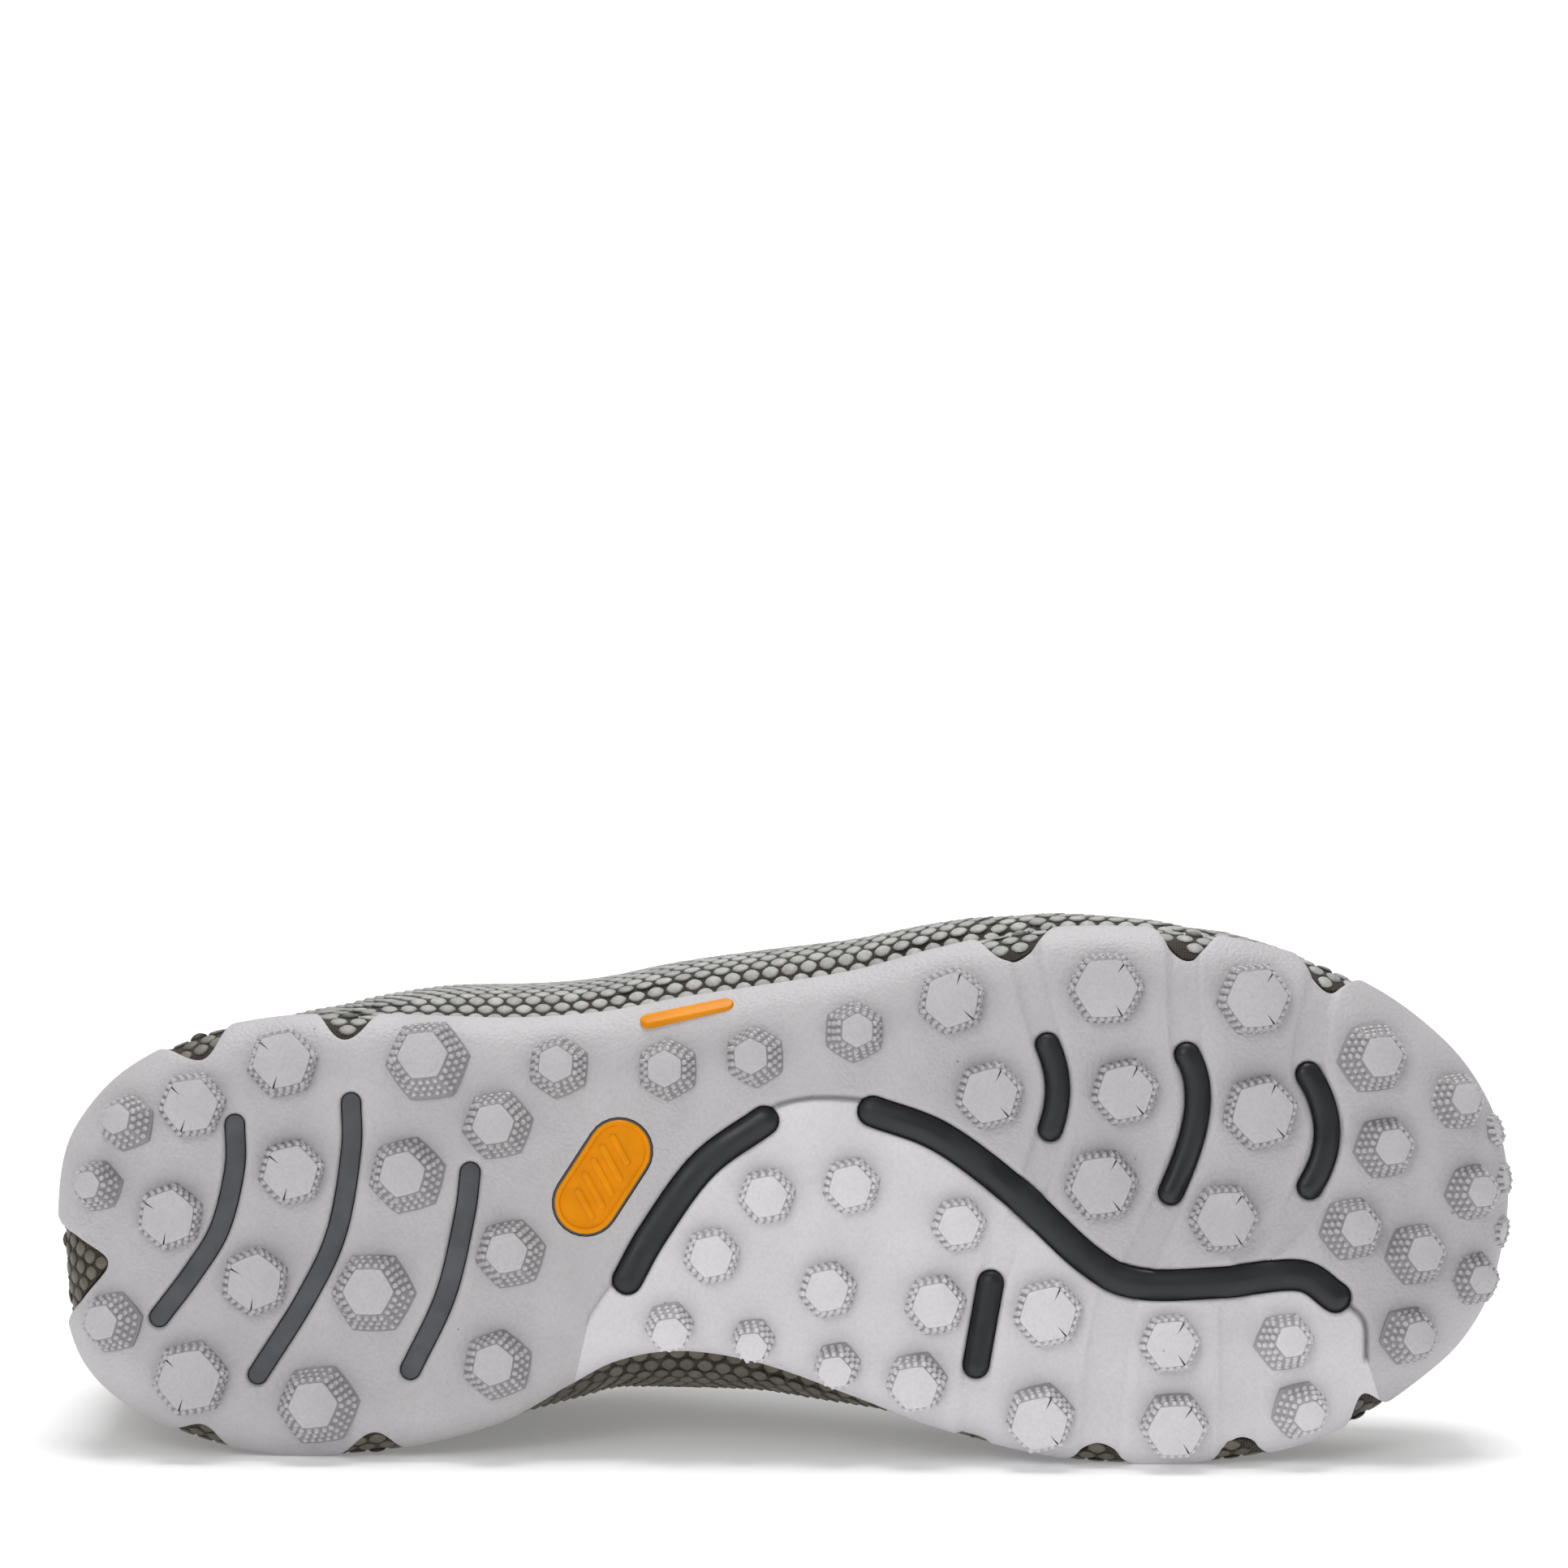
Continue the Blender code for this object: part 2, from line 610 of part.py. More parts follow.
def tread_frame(x: float, y: float, outline: np.ndarray) -> Matrix:
    """A frame on the rubber's underside whose Z points out of it, toward the floor."""
    step = 0.003
    rise_x = (tread_height(x + step, y, outline) - tread_height(x - step, y, outline)) / (2 * step)
    rise_y = (tread_height(x, y + step, outline) - tread_height(x, y - step, outline)) / (2 * step)
    out = Vector((rise_x, rise_y, -1.0)).normalized()
    side = Vector((1.0, 0.0, 0.0))
    side = (side - out * side.dot(out)).normalized()
    axes = Matrix((side, out.cross(side), out)).transposed()
    return Matrix.Translation((x, y, tread_height(x, y, outline))) @ axes.to_4x4()


def lug(row: dict, outline: np.ndarray):
    """One hexagonal lug, its root sunk into the rubber."""
    place = tread_frame(row["along"] * LENGTH, row["across"] * BALL_WIDTH, outline)
    radius = row["size"] * LUG_RADIUS
    height = LUG_HEIGHT + LUG_ROOT
    slope = (1 - row["face"]) * radius / LUG_HEIGHT
    bm = bmesh.new()
    bmesh.ops.create_cone(
        bm,
        cap_ends=True,
        segments=LUG_SIDES,
        radius1=radius + slope * LUG_ROOT,
        radius2=radius * row["face"],
        depth=height,
    )
    turn = Matrix.Rotation(math.radians(90.0), 4, "Z")
    lift = Matrix.Translation((0.0, 0.0, height / 2 - LUG_ROOT))
    bmesh.ops.transform(bm, matrix=place @ lift @ turn, verts=bm.verts)
    return finish_bmesh("lug", bm, "cutters")


def badge_outline(spare: float) -> np.ndarray:
    """The badge's round-ended outline about its own centre."""
    arm = (BADGE_LENGTH - BADGE_WIDTH) / 2
    points = np.array([[-arm, 0.0], [0.0, 0.0], [arm, 0.0]])
    return stadium(points, BADGE_WIDTH + 2 * spare, 5)


def badge_frame(outline: np.ndarray) -> Matrix:
    """Where the badge lies."""
    x, y = sized(BADGE_PLACE)
    return tread_frame(x, y, outline) @ Matrix.Rotation(-BADGE_TURN, 4, "Z")


def build_rubber(loop: Loop):
    """The whole rubber sole with lugs, slots and the badge's pocket."""
    zero = np.zeros(len(loop.base))
    under = [floor_ring(loop, share, 0.0) for share in (1.0, 0.5)]
    outer = [curl_ring(loop, CURL_RADIUS, loop.rim * share) for share in CURL_SHARES]
    thin = CURL_RADIUS - RUBBER
    inner = [curl_ring(loop, thin, loop.rim * share) for share in (1.0, 0.55)]
    top = [curl_ring(loop, thin, zero)] + [floor_ring(loop, share, RUBBER) for share in (0.5, 1.0)]
    rubber = ring_solid("outsole_grey", under + outer + inner + top)
    lugs = [lug(row, loop.base) for row in named_rows(LUGS, LUG_COLUMNS)]
    combine(rubber, joined("lugs", lugs), "UNION")
    reach = 0.03
    cuts = [prism("slot", slot_outline(name), -reach, reach) for name in SLOTS]
    combine(rubber, joined("slots", cuts), "DIFFERENCE")
    pocket = prism("pocket", badge_outline(GAP), -BADGE_DEPTH - GAP, LUG_HEIGHT, badge_frame(loop.base))
    return combine(rubber, pocket, "DIFFERENCE")


def insert_outline(spare: float) -> np.ndarray:
    """The white insert's outline from above, drawn in by spare."""
    route = list(SEAM_BEFORE) + list(SLOTS["shank"][1]) + list(SEAM_BETWEEN) + list(SLOTS["ball"][1])
    line = sized(tuple(route + list(SEAM_AFTER)))
    along = np.gradient(line, axis=0)
    along /= np.linalg.norm(along, axis=1)[:, None]
    return line + np.stack([-along[:, 1], along[:, 0]], axis=1) * spare


def build_outsoles(loop: Loop) -> list:
    """The grey rubber and the white insert, a seam apart."""
    grey = build_rubber(loop)
    white = copy_of(grey, "outsole_white")
    reach = 0.1
    combine(grey, prism("white_place", insert_outline(-GAP / 2), -reach, reach), "DIFFERENCE")
    combine(white, prism("white_shape", insert_outline(GAP / 2), -reach, reach), "INTERSECT")
    return [grey, white]


def build_badge(loop: Loop):
    """The plain badge in its pocket."""
    return prism("badge", badge_outline(0.0), -BADGE_DEPTH, BADGE_PROUD, badge_frame(loop.base), PARTS)


def footbed_ring(loop: Loop, over: float, inset: float) -> np.ndarray:
    """A ring inside the upper's wall, a little over the foam."""
    lower = WALL + GAP
    return dome_ring(loop, rise_to(loop, over, lower), inset, lower)


def footbed_inner(edge: np.ndarray, loop: Loop, share: float, over: float) -> np.ndarray:
    """A ring on the footbed, share 1 at the spine."""
    place = edge[:, :2] + (loop.spine - edge[:, :2]) * share
    return np.column_stack([place, ground(place[:, 0]) + stack(place[:, 0]) + over])


def build_midsole(loop: Loop):
    """The foam between rubber and insole, with ribs up into the heel's slots."""
    inset = UPPER_SETBACK + WALL + 2 * GAP
    radius = CURL_RADIUS - inset
    zero = np.zeros(len(loop.base))
    rings = [floor_ring(loop, share, inset) for share in (1.0, 0.5)]
    rings += [curl_ring(loop, radius, zero + math.radians(turn)) for turn in (0, 45)]
    rings.append(dome_ring(loop, zero, inset, WALL + GAP))
    edge = footbed_ring(loop, 0.0, inset)
    rings.append(dome_ring(loop, 0.5 * rise_to(loop, 0.0, WALL + GAP), inset, WALL + GAP))
    rings.append(edge)
    rings += [footbed_inner(edge, loop, share, 0.0) for share in (0.5, 1.0)]
    foam = ring_solid("midsole", rings)
    low = LUG_HEIGHT + FOAM_RIB_SETBACK
    high = LUG_HEIGHT + 2 * RUBBER
    ribs = [prism("rib", slot_outline(name, GAP), low, high) for name in FOAM_RIBS]
    return combine(foam, joined("ribs", ribs), "UNION")


def build_insole(loop: Loop):
    """The loose insole on the foam."""
    inset = UPPER_SETBACK + WALL + 2 * GAP
    low = footbed_ring(loop, GAP, inset)
    high = footbed_ring(loop, INSOLE, inset)
    rings = [footbed_inner(low, loop, share, GAP) for share in (1.0, 0.5)]
    rings += [low, high]
    rings += [footbed_inner(high, loop, share, INSOLE) for share in (0.5, 1.0)]
    return ring_solid("insole", rings)


def collar_inset(loop: Loop, ring: np.ndarray) -> np.ndarray:
    """The lining's place: behind the cloth, and the collar's padding behind the ankle."""
    back = 1 / (1 + np.exp((loop.spine[:, 0] / LENGTH - PAD_FRONT) * PAD_FRONT_FADE))
    high = 1 / (1 + np.exp(-(ring[:, 2] / COLLAR_HEIGHT - PAD_FOOT) * PAD_FOOT_FADE))
    return UPPER_SETBACK + WALL + COLLAR_PAD * back * high


def throat_outline(spare: float) -> np.ndarray:
    """The throat from above, widened by spare."""
    along = column(THROAT, THROAT_COLUMNS, "along") * LENGTH
    half = column(THROAT, THROAT_COLUMNS, "half") * THROAT_WIDTH + spare
    along = along + spare * np.linspace(0.0, 1.0, len(along))
    middle = ridge_line(along)
    lateral = np.stack([along, middle - half], axis=1)
    medial = np.stack([along, middle + half], axis=1)
    return np.vstack([lateral, medial[::-1]])


def ridge_line(x: np.ndarray) -> np.ndarray:
    """The upper's ridge from above."""
    along = column(OUTLINE, OUTLINE_COLUMNS, "along") * LENGTH
    lateral = column(OUTLINE, OUTLINE_COLUMNS, "lateral")
    medial = column(OUTLINE, OUTLINE_COLUMNS, "medial")
    middle = smooth_through(along, 0.5 * (lateral + medial), x)
    return (middle + upper_value("ridge", x)) * BALL_WIDTH


def throat_cutter(spare: float):
    """What opens the throat."""
    return prism("throat", throat_outline(spare), 0.45 * INSTEP_HEIGHT, 2 * INSTEP_HEIGHT)


def collar_cutter():
    """What opens the collar: all that is over its edge, seen from the side."""
    along = column(TOPLINE, TOPLINE_COLUMNS, "along") * LENGTH
    height = column(TOPLINE, TOPLINE_COLUMNS, "height") * COLLAR_HEIGHT
    line = catmull_rom(np.stack([along, height], axis=1), 4)
    over = 2 * INSTEP_HEIGHT
    outline = np.vstack([line, [[line[-1, 0], over], [line[0, 0], over]]])
    turn = Matrix.Rotation(math.radians(90.0), 4, "X")
    return prism("collar", outline, -LENGTH / 2, LENGTH / 2, turn)


def build_upper(loop: Loop):
    """The hollow upper, open underneath, at the collar and at the throat."""
    zero = np.zeros(len(loop.base))
    start = loop.rim + 2 * GAP / CURL_RADIUS
    quarter = math.pi / 2
    start = np.minimum(start, quarter - 0.02)
    curls = [start + (quarter - start) * share for share in (0.0, 0.5)]
    face = CURL_RADIUS - UPPER_SETBACK
    lining = UPPER_SETBACK + WALL
    outer = [curl_ring(loop, face, angle) for angle in curls]
    outer.append(dome_ring(loop, zero, UPPER_SETBACK, 0.0))
    outer += [dome_ring(loop, rise, UPPER_SETBACK, 0.0) for rise in upper_rows(loop, 0.0)]
    inner = [curl_ring(loop, face - WALL, angle) for angle in curls]
    inner.append(dome_ring(loop, zero, lining, WALL))
    for rise in upper_rows(loop, WALL):
        plain = dome_ring(loop, rise, lining, WALL)
        inner.append(dome_ring(loop, rise, collar_inset(loop, plain), WALL))
    outer[-1] = folded(outer[-1], loop.half)
    inner[-1] = folded(inner[-1], loop.half)
    upper = ring_solid("upper", outer[::-1] + inner)
    combine(upper, collar_cutter(), "DIFFERENCE")
    return combine(upper, throat_cutter(0.0), "DIFFERENCE")


def upper_rows(loop: Loop, lower: float) -> list:
    """Shares of the section's height up the wall: footbed, insole's top, then on to the ridge."""
    footbed = rise_to(loop, 0.0, lower)
    insole = rise_to(loop, INSOLE, lower)
    return [0.5 * footbed, footbed, insole] + [insole + (1 - insole) * share for share in ROW_SHARES]


def folded(ring: np.ndarray, half: int) -> np.ndarray:
    """A ring folded flat, so that its two sides meet on one line."""
    count = len(ring)
    mirror = (count - np.arange(count)) % count
    return 0.5 * (ring + ring[mirror])


def across_grid(
    loop: Loop, first: float, last: float, half_width: float, inset: float, steps: int = 5
) -> np.ndarray:
    """Points across the ridge of the upper, rows from first to last along the length."""
    n = loop.half
    ridge = loop.spine[: n + 1, 0]
    rows = [k for k in range(n + 1) if first * LENGTH <= ridge[k] <= last * LENGTH]
    square = upper_value("square", loop.spine[:, 0])
    share = np.clip(half_width / loop.reach, 0.0, 0.98)
    low = np.arccos(share ** (square / 2))
    rings = []
    for step in range(steps + 1):
        angle = low + (math.pi / 2 - low) * step / steps
        rise = np.sin(angle) ** (2 / square)
        rings.append(dome_ring(loop, rise, UPPER_SETBACK + inset, inset))
    count = len(loop.base)
    grid = []
    for k in rows:
        lateral = [ring[k] for ring in rings]
        medial = [ring[(count - k) % count] for ring in rings[-2::-1]]
        grid.append(lateral + medial)
    return np.array(grid)


def build_tongue(loop: Loop):
    """The tongue under the throat."""
    under = WALL + TONGUE_CLEARANCE
    half = TONGUE_WIDTH / 2
    first, last = TONGUE_SPAN
    top = across_grid(loop, first, last, half, under)
    bottom = across_grid(loop, first, last, half, under + TONGUE)
    return slab_solid("tongue", top, bottom)


def build_eyestay(loop: Loop):
    """The band around the throat that holds the eyelets."""
    half = THROAT_WIDTH / 2 + EYESTAY_WIDTH
    first, last = EYESTAY_SPAN
    top = across_grid(loop, first, last, half, -EYESTAY_LIFT - EYESTAY, EYESTAY_STEPS)
    bottom = across_grid(loop, first, last, half, -EYESTAY_LIFT, EYESTAY_STEPS)
    band = slab_solid("eyestay", top, bottom)
    return combine(band, throat_cutter(EYESTAY), "DIFFERENCE")


def lace_point(loop: Loop, along: float, across: float) -> np.ndarray:
    """A lace's centre over the upper, across from -1 lateral to 1 medial."""
    over = EYESTAY_LIFT + EYESTAY + LACE_LIFT + LACE_RADIUS
    reach = THROAT_WIDTH / 2 + EYESTAY_WIDTH / 2
    grid = across_grid(loop, *LACE_SPAN, reach, -over)
    rows = np.array([row[len(row) // 2][0] for row in grid])
    place = np.interp(along * LENGTH, rows, np.arange(len(rows)))
    low = min(int(place), len(rows) - 2)
    row = grid[low] + (grid[low + 1] - grid[low]) * (place - low)
    run = (across + 1) / 2 * (len(row) - 1)
    start = min(int(run), len(row) - 2)
    return row[start] + (row[start + 1] - row[start]) * (run - start)


def tube(name: str, points: list, radius: float):
    """A round bar along points, as a mesh with welded ends."""
    curve = bpy.data.curves.new(name, "CURVE")
    curve.dimensions = "3D"
    curve.bevel_depth = radius
    curve.bevel_resolution = 1
    curve.use_fill_caps = True
    spline = curve.splines.new("POLY")
    spline.points.add(len(points) - 1)
    for target, point in zip(spline.points, points):
        target.co = (*point, 1.0)
    guide = link_new(name, curve, "cutters")
    bpy.context.view_layer.update()
    graph = bpy.context.evaluated_depsgraph_get()
    bm = bmesh.new()
    bm.from_mesh(bpy.data.meshes.new_from_object(guide.evaluated_get(graph)))
    bpy.data.objects.remove(guide)
    return finish_bmesh(name, bm, PARTS)


def build_laces(loop: Loop):
    """Crossed laces from the lowest eyelets to the top ones, as one joined solid."""
    places = np.linspace(*EYELETS, LACE_ROWS)
    edge = 0.98
    steps = (-edge, -0.5, 0.0, 0.5, edge)
    bars = []
    for first in (-1, 1):
        points = []
        for row in range(LACE_ROWS - 1):
            side = first if row % 2 == 0 else -first
            for step in steps[:-1]:
                share = (step + edge) / (2 * edge)
                along = places[row] + (places[row + 1] - places[row]) * share
                points.append(lace_point(loop, along, side * step))
        last = first if (LACE_ROWS - 1) % 2 == 0 else -first
        points.append(lace_point(loop, places[-1], last * -edge))
        bars.append(tube("laces", points, LACE_RADIUS))
    base = [lace_point(loop, places[0] + 0.002, step) for step in steps]
    bars.append(tube("lace_bar", base, LACE_RADIUS * 0.97))
    combine(bars[0], bars[1], "UNION")
    return combine(bars[0], bars[2], "UNION")


def dress(obj, finish: tuple):
    """Gives an object a plain Principled material."""
    colour, roughness = finish
    material = bpy.data.materials.new(obj.name)
    material.use_nodes = True
    shader = material.node_tree.nodes["Principled BSDF"]
    shader.inputs["Base Color"].default_value = (*colour, 1.0)
    shader.inputs["Roughness"].default_value = roughness
    shader.inputs["Metallic"].default_value = 0.0
    obj.data.materials.clear()
    obj.data.materials.append(material)


def points_of(objects: list) -> np.ndarray:
    """Every corner of the objects."""
    return np.array([tuple(vertex.co) for obj in objects for vertex in obj.data.vertices])


def laid(points: np.ndarray, lean: float, pitch: float) -> np.ndarray:
    """Heights over the floor of points of the shoe, laid on its medial side."""
    height = -points[:, 1] * math.cos(lean) - points[:, 2] * math.sin(lean)
    return -points[:, 0] * math.sin(pitch) + height * math.cos(pitch)


def halved(low: float, high: float, test) -> float:
    """The value between low and high where the test turns from positive to negative."""
    for _ in range(40):
        middle = 0.5 * (low + high)
        if test(middle) > 0:
            low = middle
        else:
            high = middle
    return 0.5 * (low + high)


def lay_down(sole: list, cloth: list, everything: list) -> None:
    """Lays the shoe on the edge of its sole and the side of its upper, and centres it."""
    edge = points_of(sole)
    heel = edge[edge[:, 0] < 0.4 * LENGTH]
    toe = edge[edge[:, 0] > 0.5 * LENGTH]
    side = points_of(cloth)

    def level(lean: float) -> float:
        return halved(-0.1, 0.1, lambda pitch: laid(toe, lean, pitch).min() - laid(heel, lean, pitch).min())

    def lift(lean: float) -> float:
        pitch = level(lean)
        return laid(side, lean, pitch).min() - laid(edge, lean, pitch).min()

    lean = halved(0.0, 0.5, lift)
    pitch = level(lean)
    turn = Matrix.Rotation(pitch, 4, "Y") @ Matrix.Rotation(-math.pi / 2 - lean, 4, "X")
    rotation = np.array(turn.to_3x3())
    placed = points_of(everything) @ rotation.T
    low, high = placed.min(axis=0), placed.max(axis=0)
    centre = Vector((-(low[0] + high[0]) / 2, -(low[1] + high[1]) / 2, -low[2]))
    empty = bpy.data.objects.new("shoe_lying", None)
    bpy.context.scene.collection.objects.link(empty)
    empty.matrix_world = Matrix.Translation(centre) @ turn
    for obj in everything:
        obj.parent = empty
    print(f"lean {math.degrees(lean):.2f} pitch {math.degrees(pitch):.2f} degrees")


def main() -> None:
    """Builds the shoe standing, then lays it down."""
    for obj in list(bpy.data.objects):
        bpy.data.objects.remove(obj)
    loop = Loop(HALF)
    rubber = build_outsoles(loop)
    badge = build_badge(loop)
    midsole = build_midsole(loop)
    insole = build_insole(loop)
    upper = build_upper(loop)
    tongue = build_tongue(loop)
    eyestay = build_eyestay(loop)
    laces = build_laces(loop)
    everything = rubber + [badge, midsole, insole, upper, tongue, eyestay, laces]
    finishes = (
        GREY_RUBBER,
        WHITE_RUBBER,
        ORANGE,
        DARK_FOAM,
        DARK_CLOTH,
        MESH_CLOTH,
        DARK_CLOTH,
        DARK_CLOTH,
        LACE_CORD,
    )
    for obj, finish in zip(everything, finishes):
        dress(obj, finish)
    lay_down(rubber, [upper], everything)


if __name__ == "__main__":
    main()
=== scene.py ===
"""Looks of a right trail running shoe that lies on its medial side.

The forms are worked out standing, with +X from heel to toe, +Y to the medial side and +Z up
from the ground, on the same last as the frame's solids, and are then laid down into the
frame. Metres throughout.
"""

from __future__ import annotations

import functools
import logging
import math
import sys
from collections.abc import Callable
from dataclasses import dataclass, replace
from enum import Enum

import bmesh
import bpy
import numpy as np
from mathutils import Matrix, Vector
from mathutils.geometry import delaunay_2d_cdt
from mathutils.kdtree import KDTree

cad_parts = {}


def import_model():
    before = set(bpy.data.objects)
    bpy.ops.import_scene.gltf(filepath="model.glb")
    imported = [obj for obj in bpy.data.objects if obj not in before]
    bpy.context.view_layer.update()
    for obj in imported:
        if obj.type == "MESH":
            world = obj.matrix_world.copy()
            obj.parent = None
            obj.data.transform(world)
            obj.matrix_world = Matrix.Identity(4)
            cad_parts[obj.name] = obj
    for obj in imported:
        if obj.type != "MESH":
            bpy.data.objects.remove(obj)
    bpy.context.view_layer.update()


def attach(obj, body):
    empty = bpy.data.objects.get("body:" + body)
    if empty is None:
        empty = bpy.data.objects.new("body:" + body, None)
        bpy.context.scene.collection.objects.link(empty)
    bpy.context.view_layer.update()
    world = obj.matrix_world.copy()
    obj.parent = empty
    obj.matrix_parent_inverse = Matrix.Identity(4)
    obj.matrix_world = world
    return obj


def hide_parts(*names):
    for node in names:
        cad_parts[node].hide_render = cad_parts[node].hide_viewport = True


Array = np.ndarray
Mesh, Piece, NodeTree, Socket = bpy.types.Mesh, bpy.types.Object, bpy.types.NodeTree, bpy.types.NodeSocket

LOG = logging.getLogger("shoe")
BODY = "root"
SEED = 7

# How the standing shoe lies in the frame: its lean and pitch, and where its heel point comes to
LEAN = math.radians(7.903)
PITCH = math.radians(-0.506)
HEEL_POINT = Vector((-0.149247, -0.051678, 0.050214))
# How much is left of what would go under the floor.
PRESSED_SHARE = 0.1
# Where the collar ends and where the throat may start, as shares of the length, and the throat's least
# height as a share of the instep's.
COLLAR_SHARE = 0.40
THROAT_START = 0.30
THROAT_LEVEL = 0.45


class Side(Enum):
    """A side of the shoe, with its sign along Y."""

    LATERAL = -1
    MEDIAL = 1


class Face(Enum):
    """A kind of lug, with the share of its radius that is left at the tread."""

    BLOCK = 0.86
    BEVELLED = 0.62
    POINTED = 0.58
    FLAT = 0.80
    EDGE = 0.70


# The sole's outline. along is a share of the length, the others are shares of the ball width.
OUTLINE_COLUMNS = ("along", "lateral", "medial")
OUTLINE = (
    (0.000, 0.03, 0.03),
    (0.004, -0.10, 0.16),
    (0.018, -0.185, 0.275),
    (0.048, -0.27, 0.355),
    (0.095, -0.335, 0.415),
    (0.145, -0.365, 0.443),
    (0.195, -0.373, 0.446),
    (0.250, -0.37, 0.427),
    (0.305, -0.365, 0.385),
    (0.350, -0.37, 0.318),
    (0.385, -0.38, 0.272),
    (0.430, -0.403, 0.255),
    (0.485, -0.425, 0.278),
    (0.547, -0.452, 0.336),
    (0.603, -0.492, 0.393),
    (0.660, -0.525, 0.435),
    (0.710, -0.535, 0.457),
    (0.765, -0.53, 0.461),
    (0.815, -0.51, 0.451),
    (0.860, -0.477, 0.425),
    (0.900, -0.43, 0.376),
    (0.933, -0.373, 0.319),
    (0.964, -0.297, 0.248),
    (0.985, -0.212, 0.160),
    (0.996, -0.13, 0.055),
    (1.000, -0.04, -0.04),
)

# The upper from heel to toe. crown is a share of the instep height, the ridge's shift to the
# medial side and both bulges are shares of the ball width, square is 2 for a round section.
UPPER_COLUMNS = ("along", "crown", "ridge", "lateral_bulge", "medial_bulge", "square")
UPPER = (
    (0.00, 1.22, 0.00, -0.02, -0.05, 2.6),
    (0.15, 1.24, 0.00, 0.00, -0.06, 2.6),
    (0.28, 1.24, 0.00, 0.064, -0.035, 2.6),
    (0.36, 1.16, 0.00, 0.068, 0.048, 2.5),
    (0.42, 1.00, 0.00, 0.072, 0.082, 2.4),
    (0.50, 0.86, 0.01, 0.072, 0.056, 2.3),
    (0.60, 0.72, 0.02, 0.059, -0.01, 2.2),
    (0.72, 0.62, 0.03, 0.029, -0.05, 2.2),
    (0.84, 0.56, 0.03, 0.01, -0.05, 2.3),
    (0.92, 0.53, 0.02, -0.01, -0.03, 2.4),
    (1.00, 0.50, 0.00, 0.00, 0.00, 2.4),
)

# The collar's edge from the side: share of the length, share of the collar's height.
TOPLINE = (
    (-0.08, 1.03),
    (0.00, 1.02),
    (0.04, 0.98),
    (0.10, 0.86),
    (0.17, 0.77),
    (0.25, 0.73),
    (0.32, 0.80),
    (0.37, 0.94),
    (0.41, 1.12),
)

# The throat from above, half a share of the throat's width.
THROAT_COLUMNS = ("along", "half")
THROAT = (
    (0.36, 0.56),
    (0.42, 0.50),
    (0.50, 0.44),
    (0.58, 0.37),
    (0.62, 0.26),
    (0.633, 0.13),
    (0.637, 0.00),
)

# Notches in the curled edge: side is the side's sign, depth and half_width are in metres.
NOTCH_COLUMNS = ("along", "side", "depth", "half_width")
NOTCHES = (
    (0.095, -1, 0.0048, 0.0085),
    (0.199, -1, 0.0048, 0.0070),
    (0.659, -1, 0.0052, 0.0090),
    (0.776, -1, 0.0052, 0.0075),
    (0.874, -1, 0.0040, 0.0080),
    (0.001, 1, 0.0096, 0.0115),
    (0.098, 1, 0.0032, 0.0075),
    (0.216, 1, 0.0042, 0.0075),
    (0.717, 1, 0.0034, 0.0075),
    (0.813, 1, 0.0038, 0.0070),
    (0.903, 1, 0.0042, 0.0055),
)

# Slots through the rubber: width in metres, whether the foam in it is glossy, and the centre
# line in shares of the length and the ball width.
SLOTS = {
    "heel_a": (
        0.0042, False, ((0.122, -0.170), (0.122, -0.09), (0.112, 0.02), (0.094, 0.10), (0.070, 0.185)),
    ),
    "heel_b": (
        0.0042, False, ((0.202, -0.210), (0.202, -0.12), (0.192, 0.03), (0.171, 0.15), (0.138, 0.290)),
    ),
    "heel_c": (0.0043, False, ((0.284, -0.082), (0.280, 0.00), (0.267, 0.145), (0.243, 0.281))),
    "shank": (0.0063, True, ((0.392, 0.116), (0.410, 0.03), (0.444, -0.094), (0.486, -0.176))),
    "ball": (
        0.0065,
        True,
        (
            (0.561, -0.194),
            (0.608, -0.146),
            (0.659, -0.045),
            (0.709, 0.078),
            (0.743, 0.122),
            (0.799, 0.121),
            (0.854, 0.108),
            (0.880, 0.149),
        ),
    ),
    "fore_a": (0.0050, True, ((0.681, -0.316), (0.688, -0.24), (0.683, -0.161))),
    "fore_b": (0.0052, True, ((0.777, -0.298), (0.784, -0.194), (0.766, -0.045))),
    "fore_c": (0.0053, True, ((0.861, -0.261), (0.874, -0.157), (0.862, -0.055))),
    "medial": (0.0055, True, ((0.642, 0.122), (0.632, 0.272))),
}

# The seam between the grey rubber and the white insert, between and after the two grooves that
# it runs along, and the lengths at which it reaches the sole's edge.
SEAM_BEFORE = ((0.380, 0.13),)
SEAM_BETWEEN = ((0.494, -0.203), (0.519, -0.218), (0.552, -0.215))
SEAM_AFTER = ((0.899, 0.19),)
SEAM_EDGES = (0.354, 0.913)

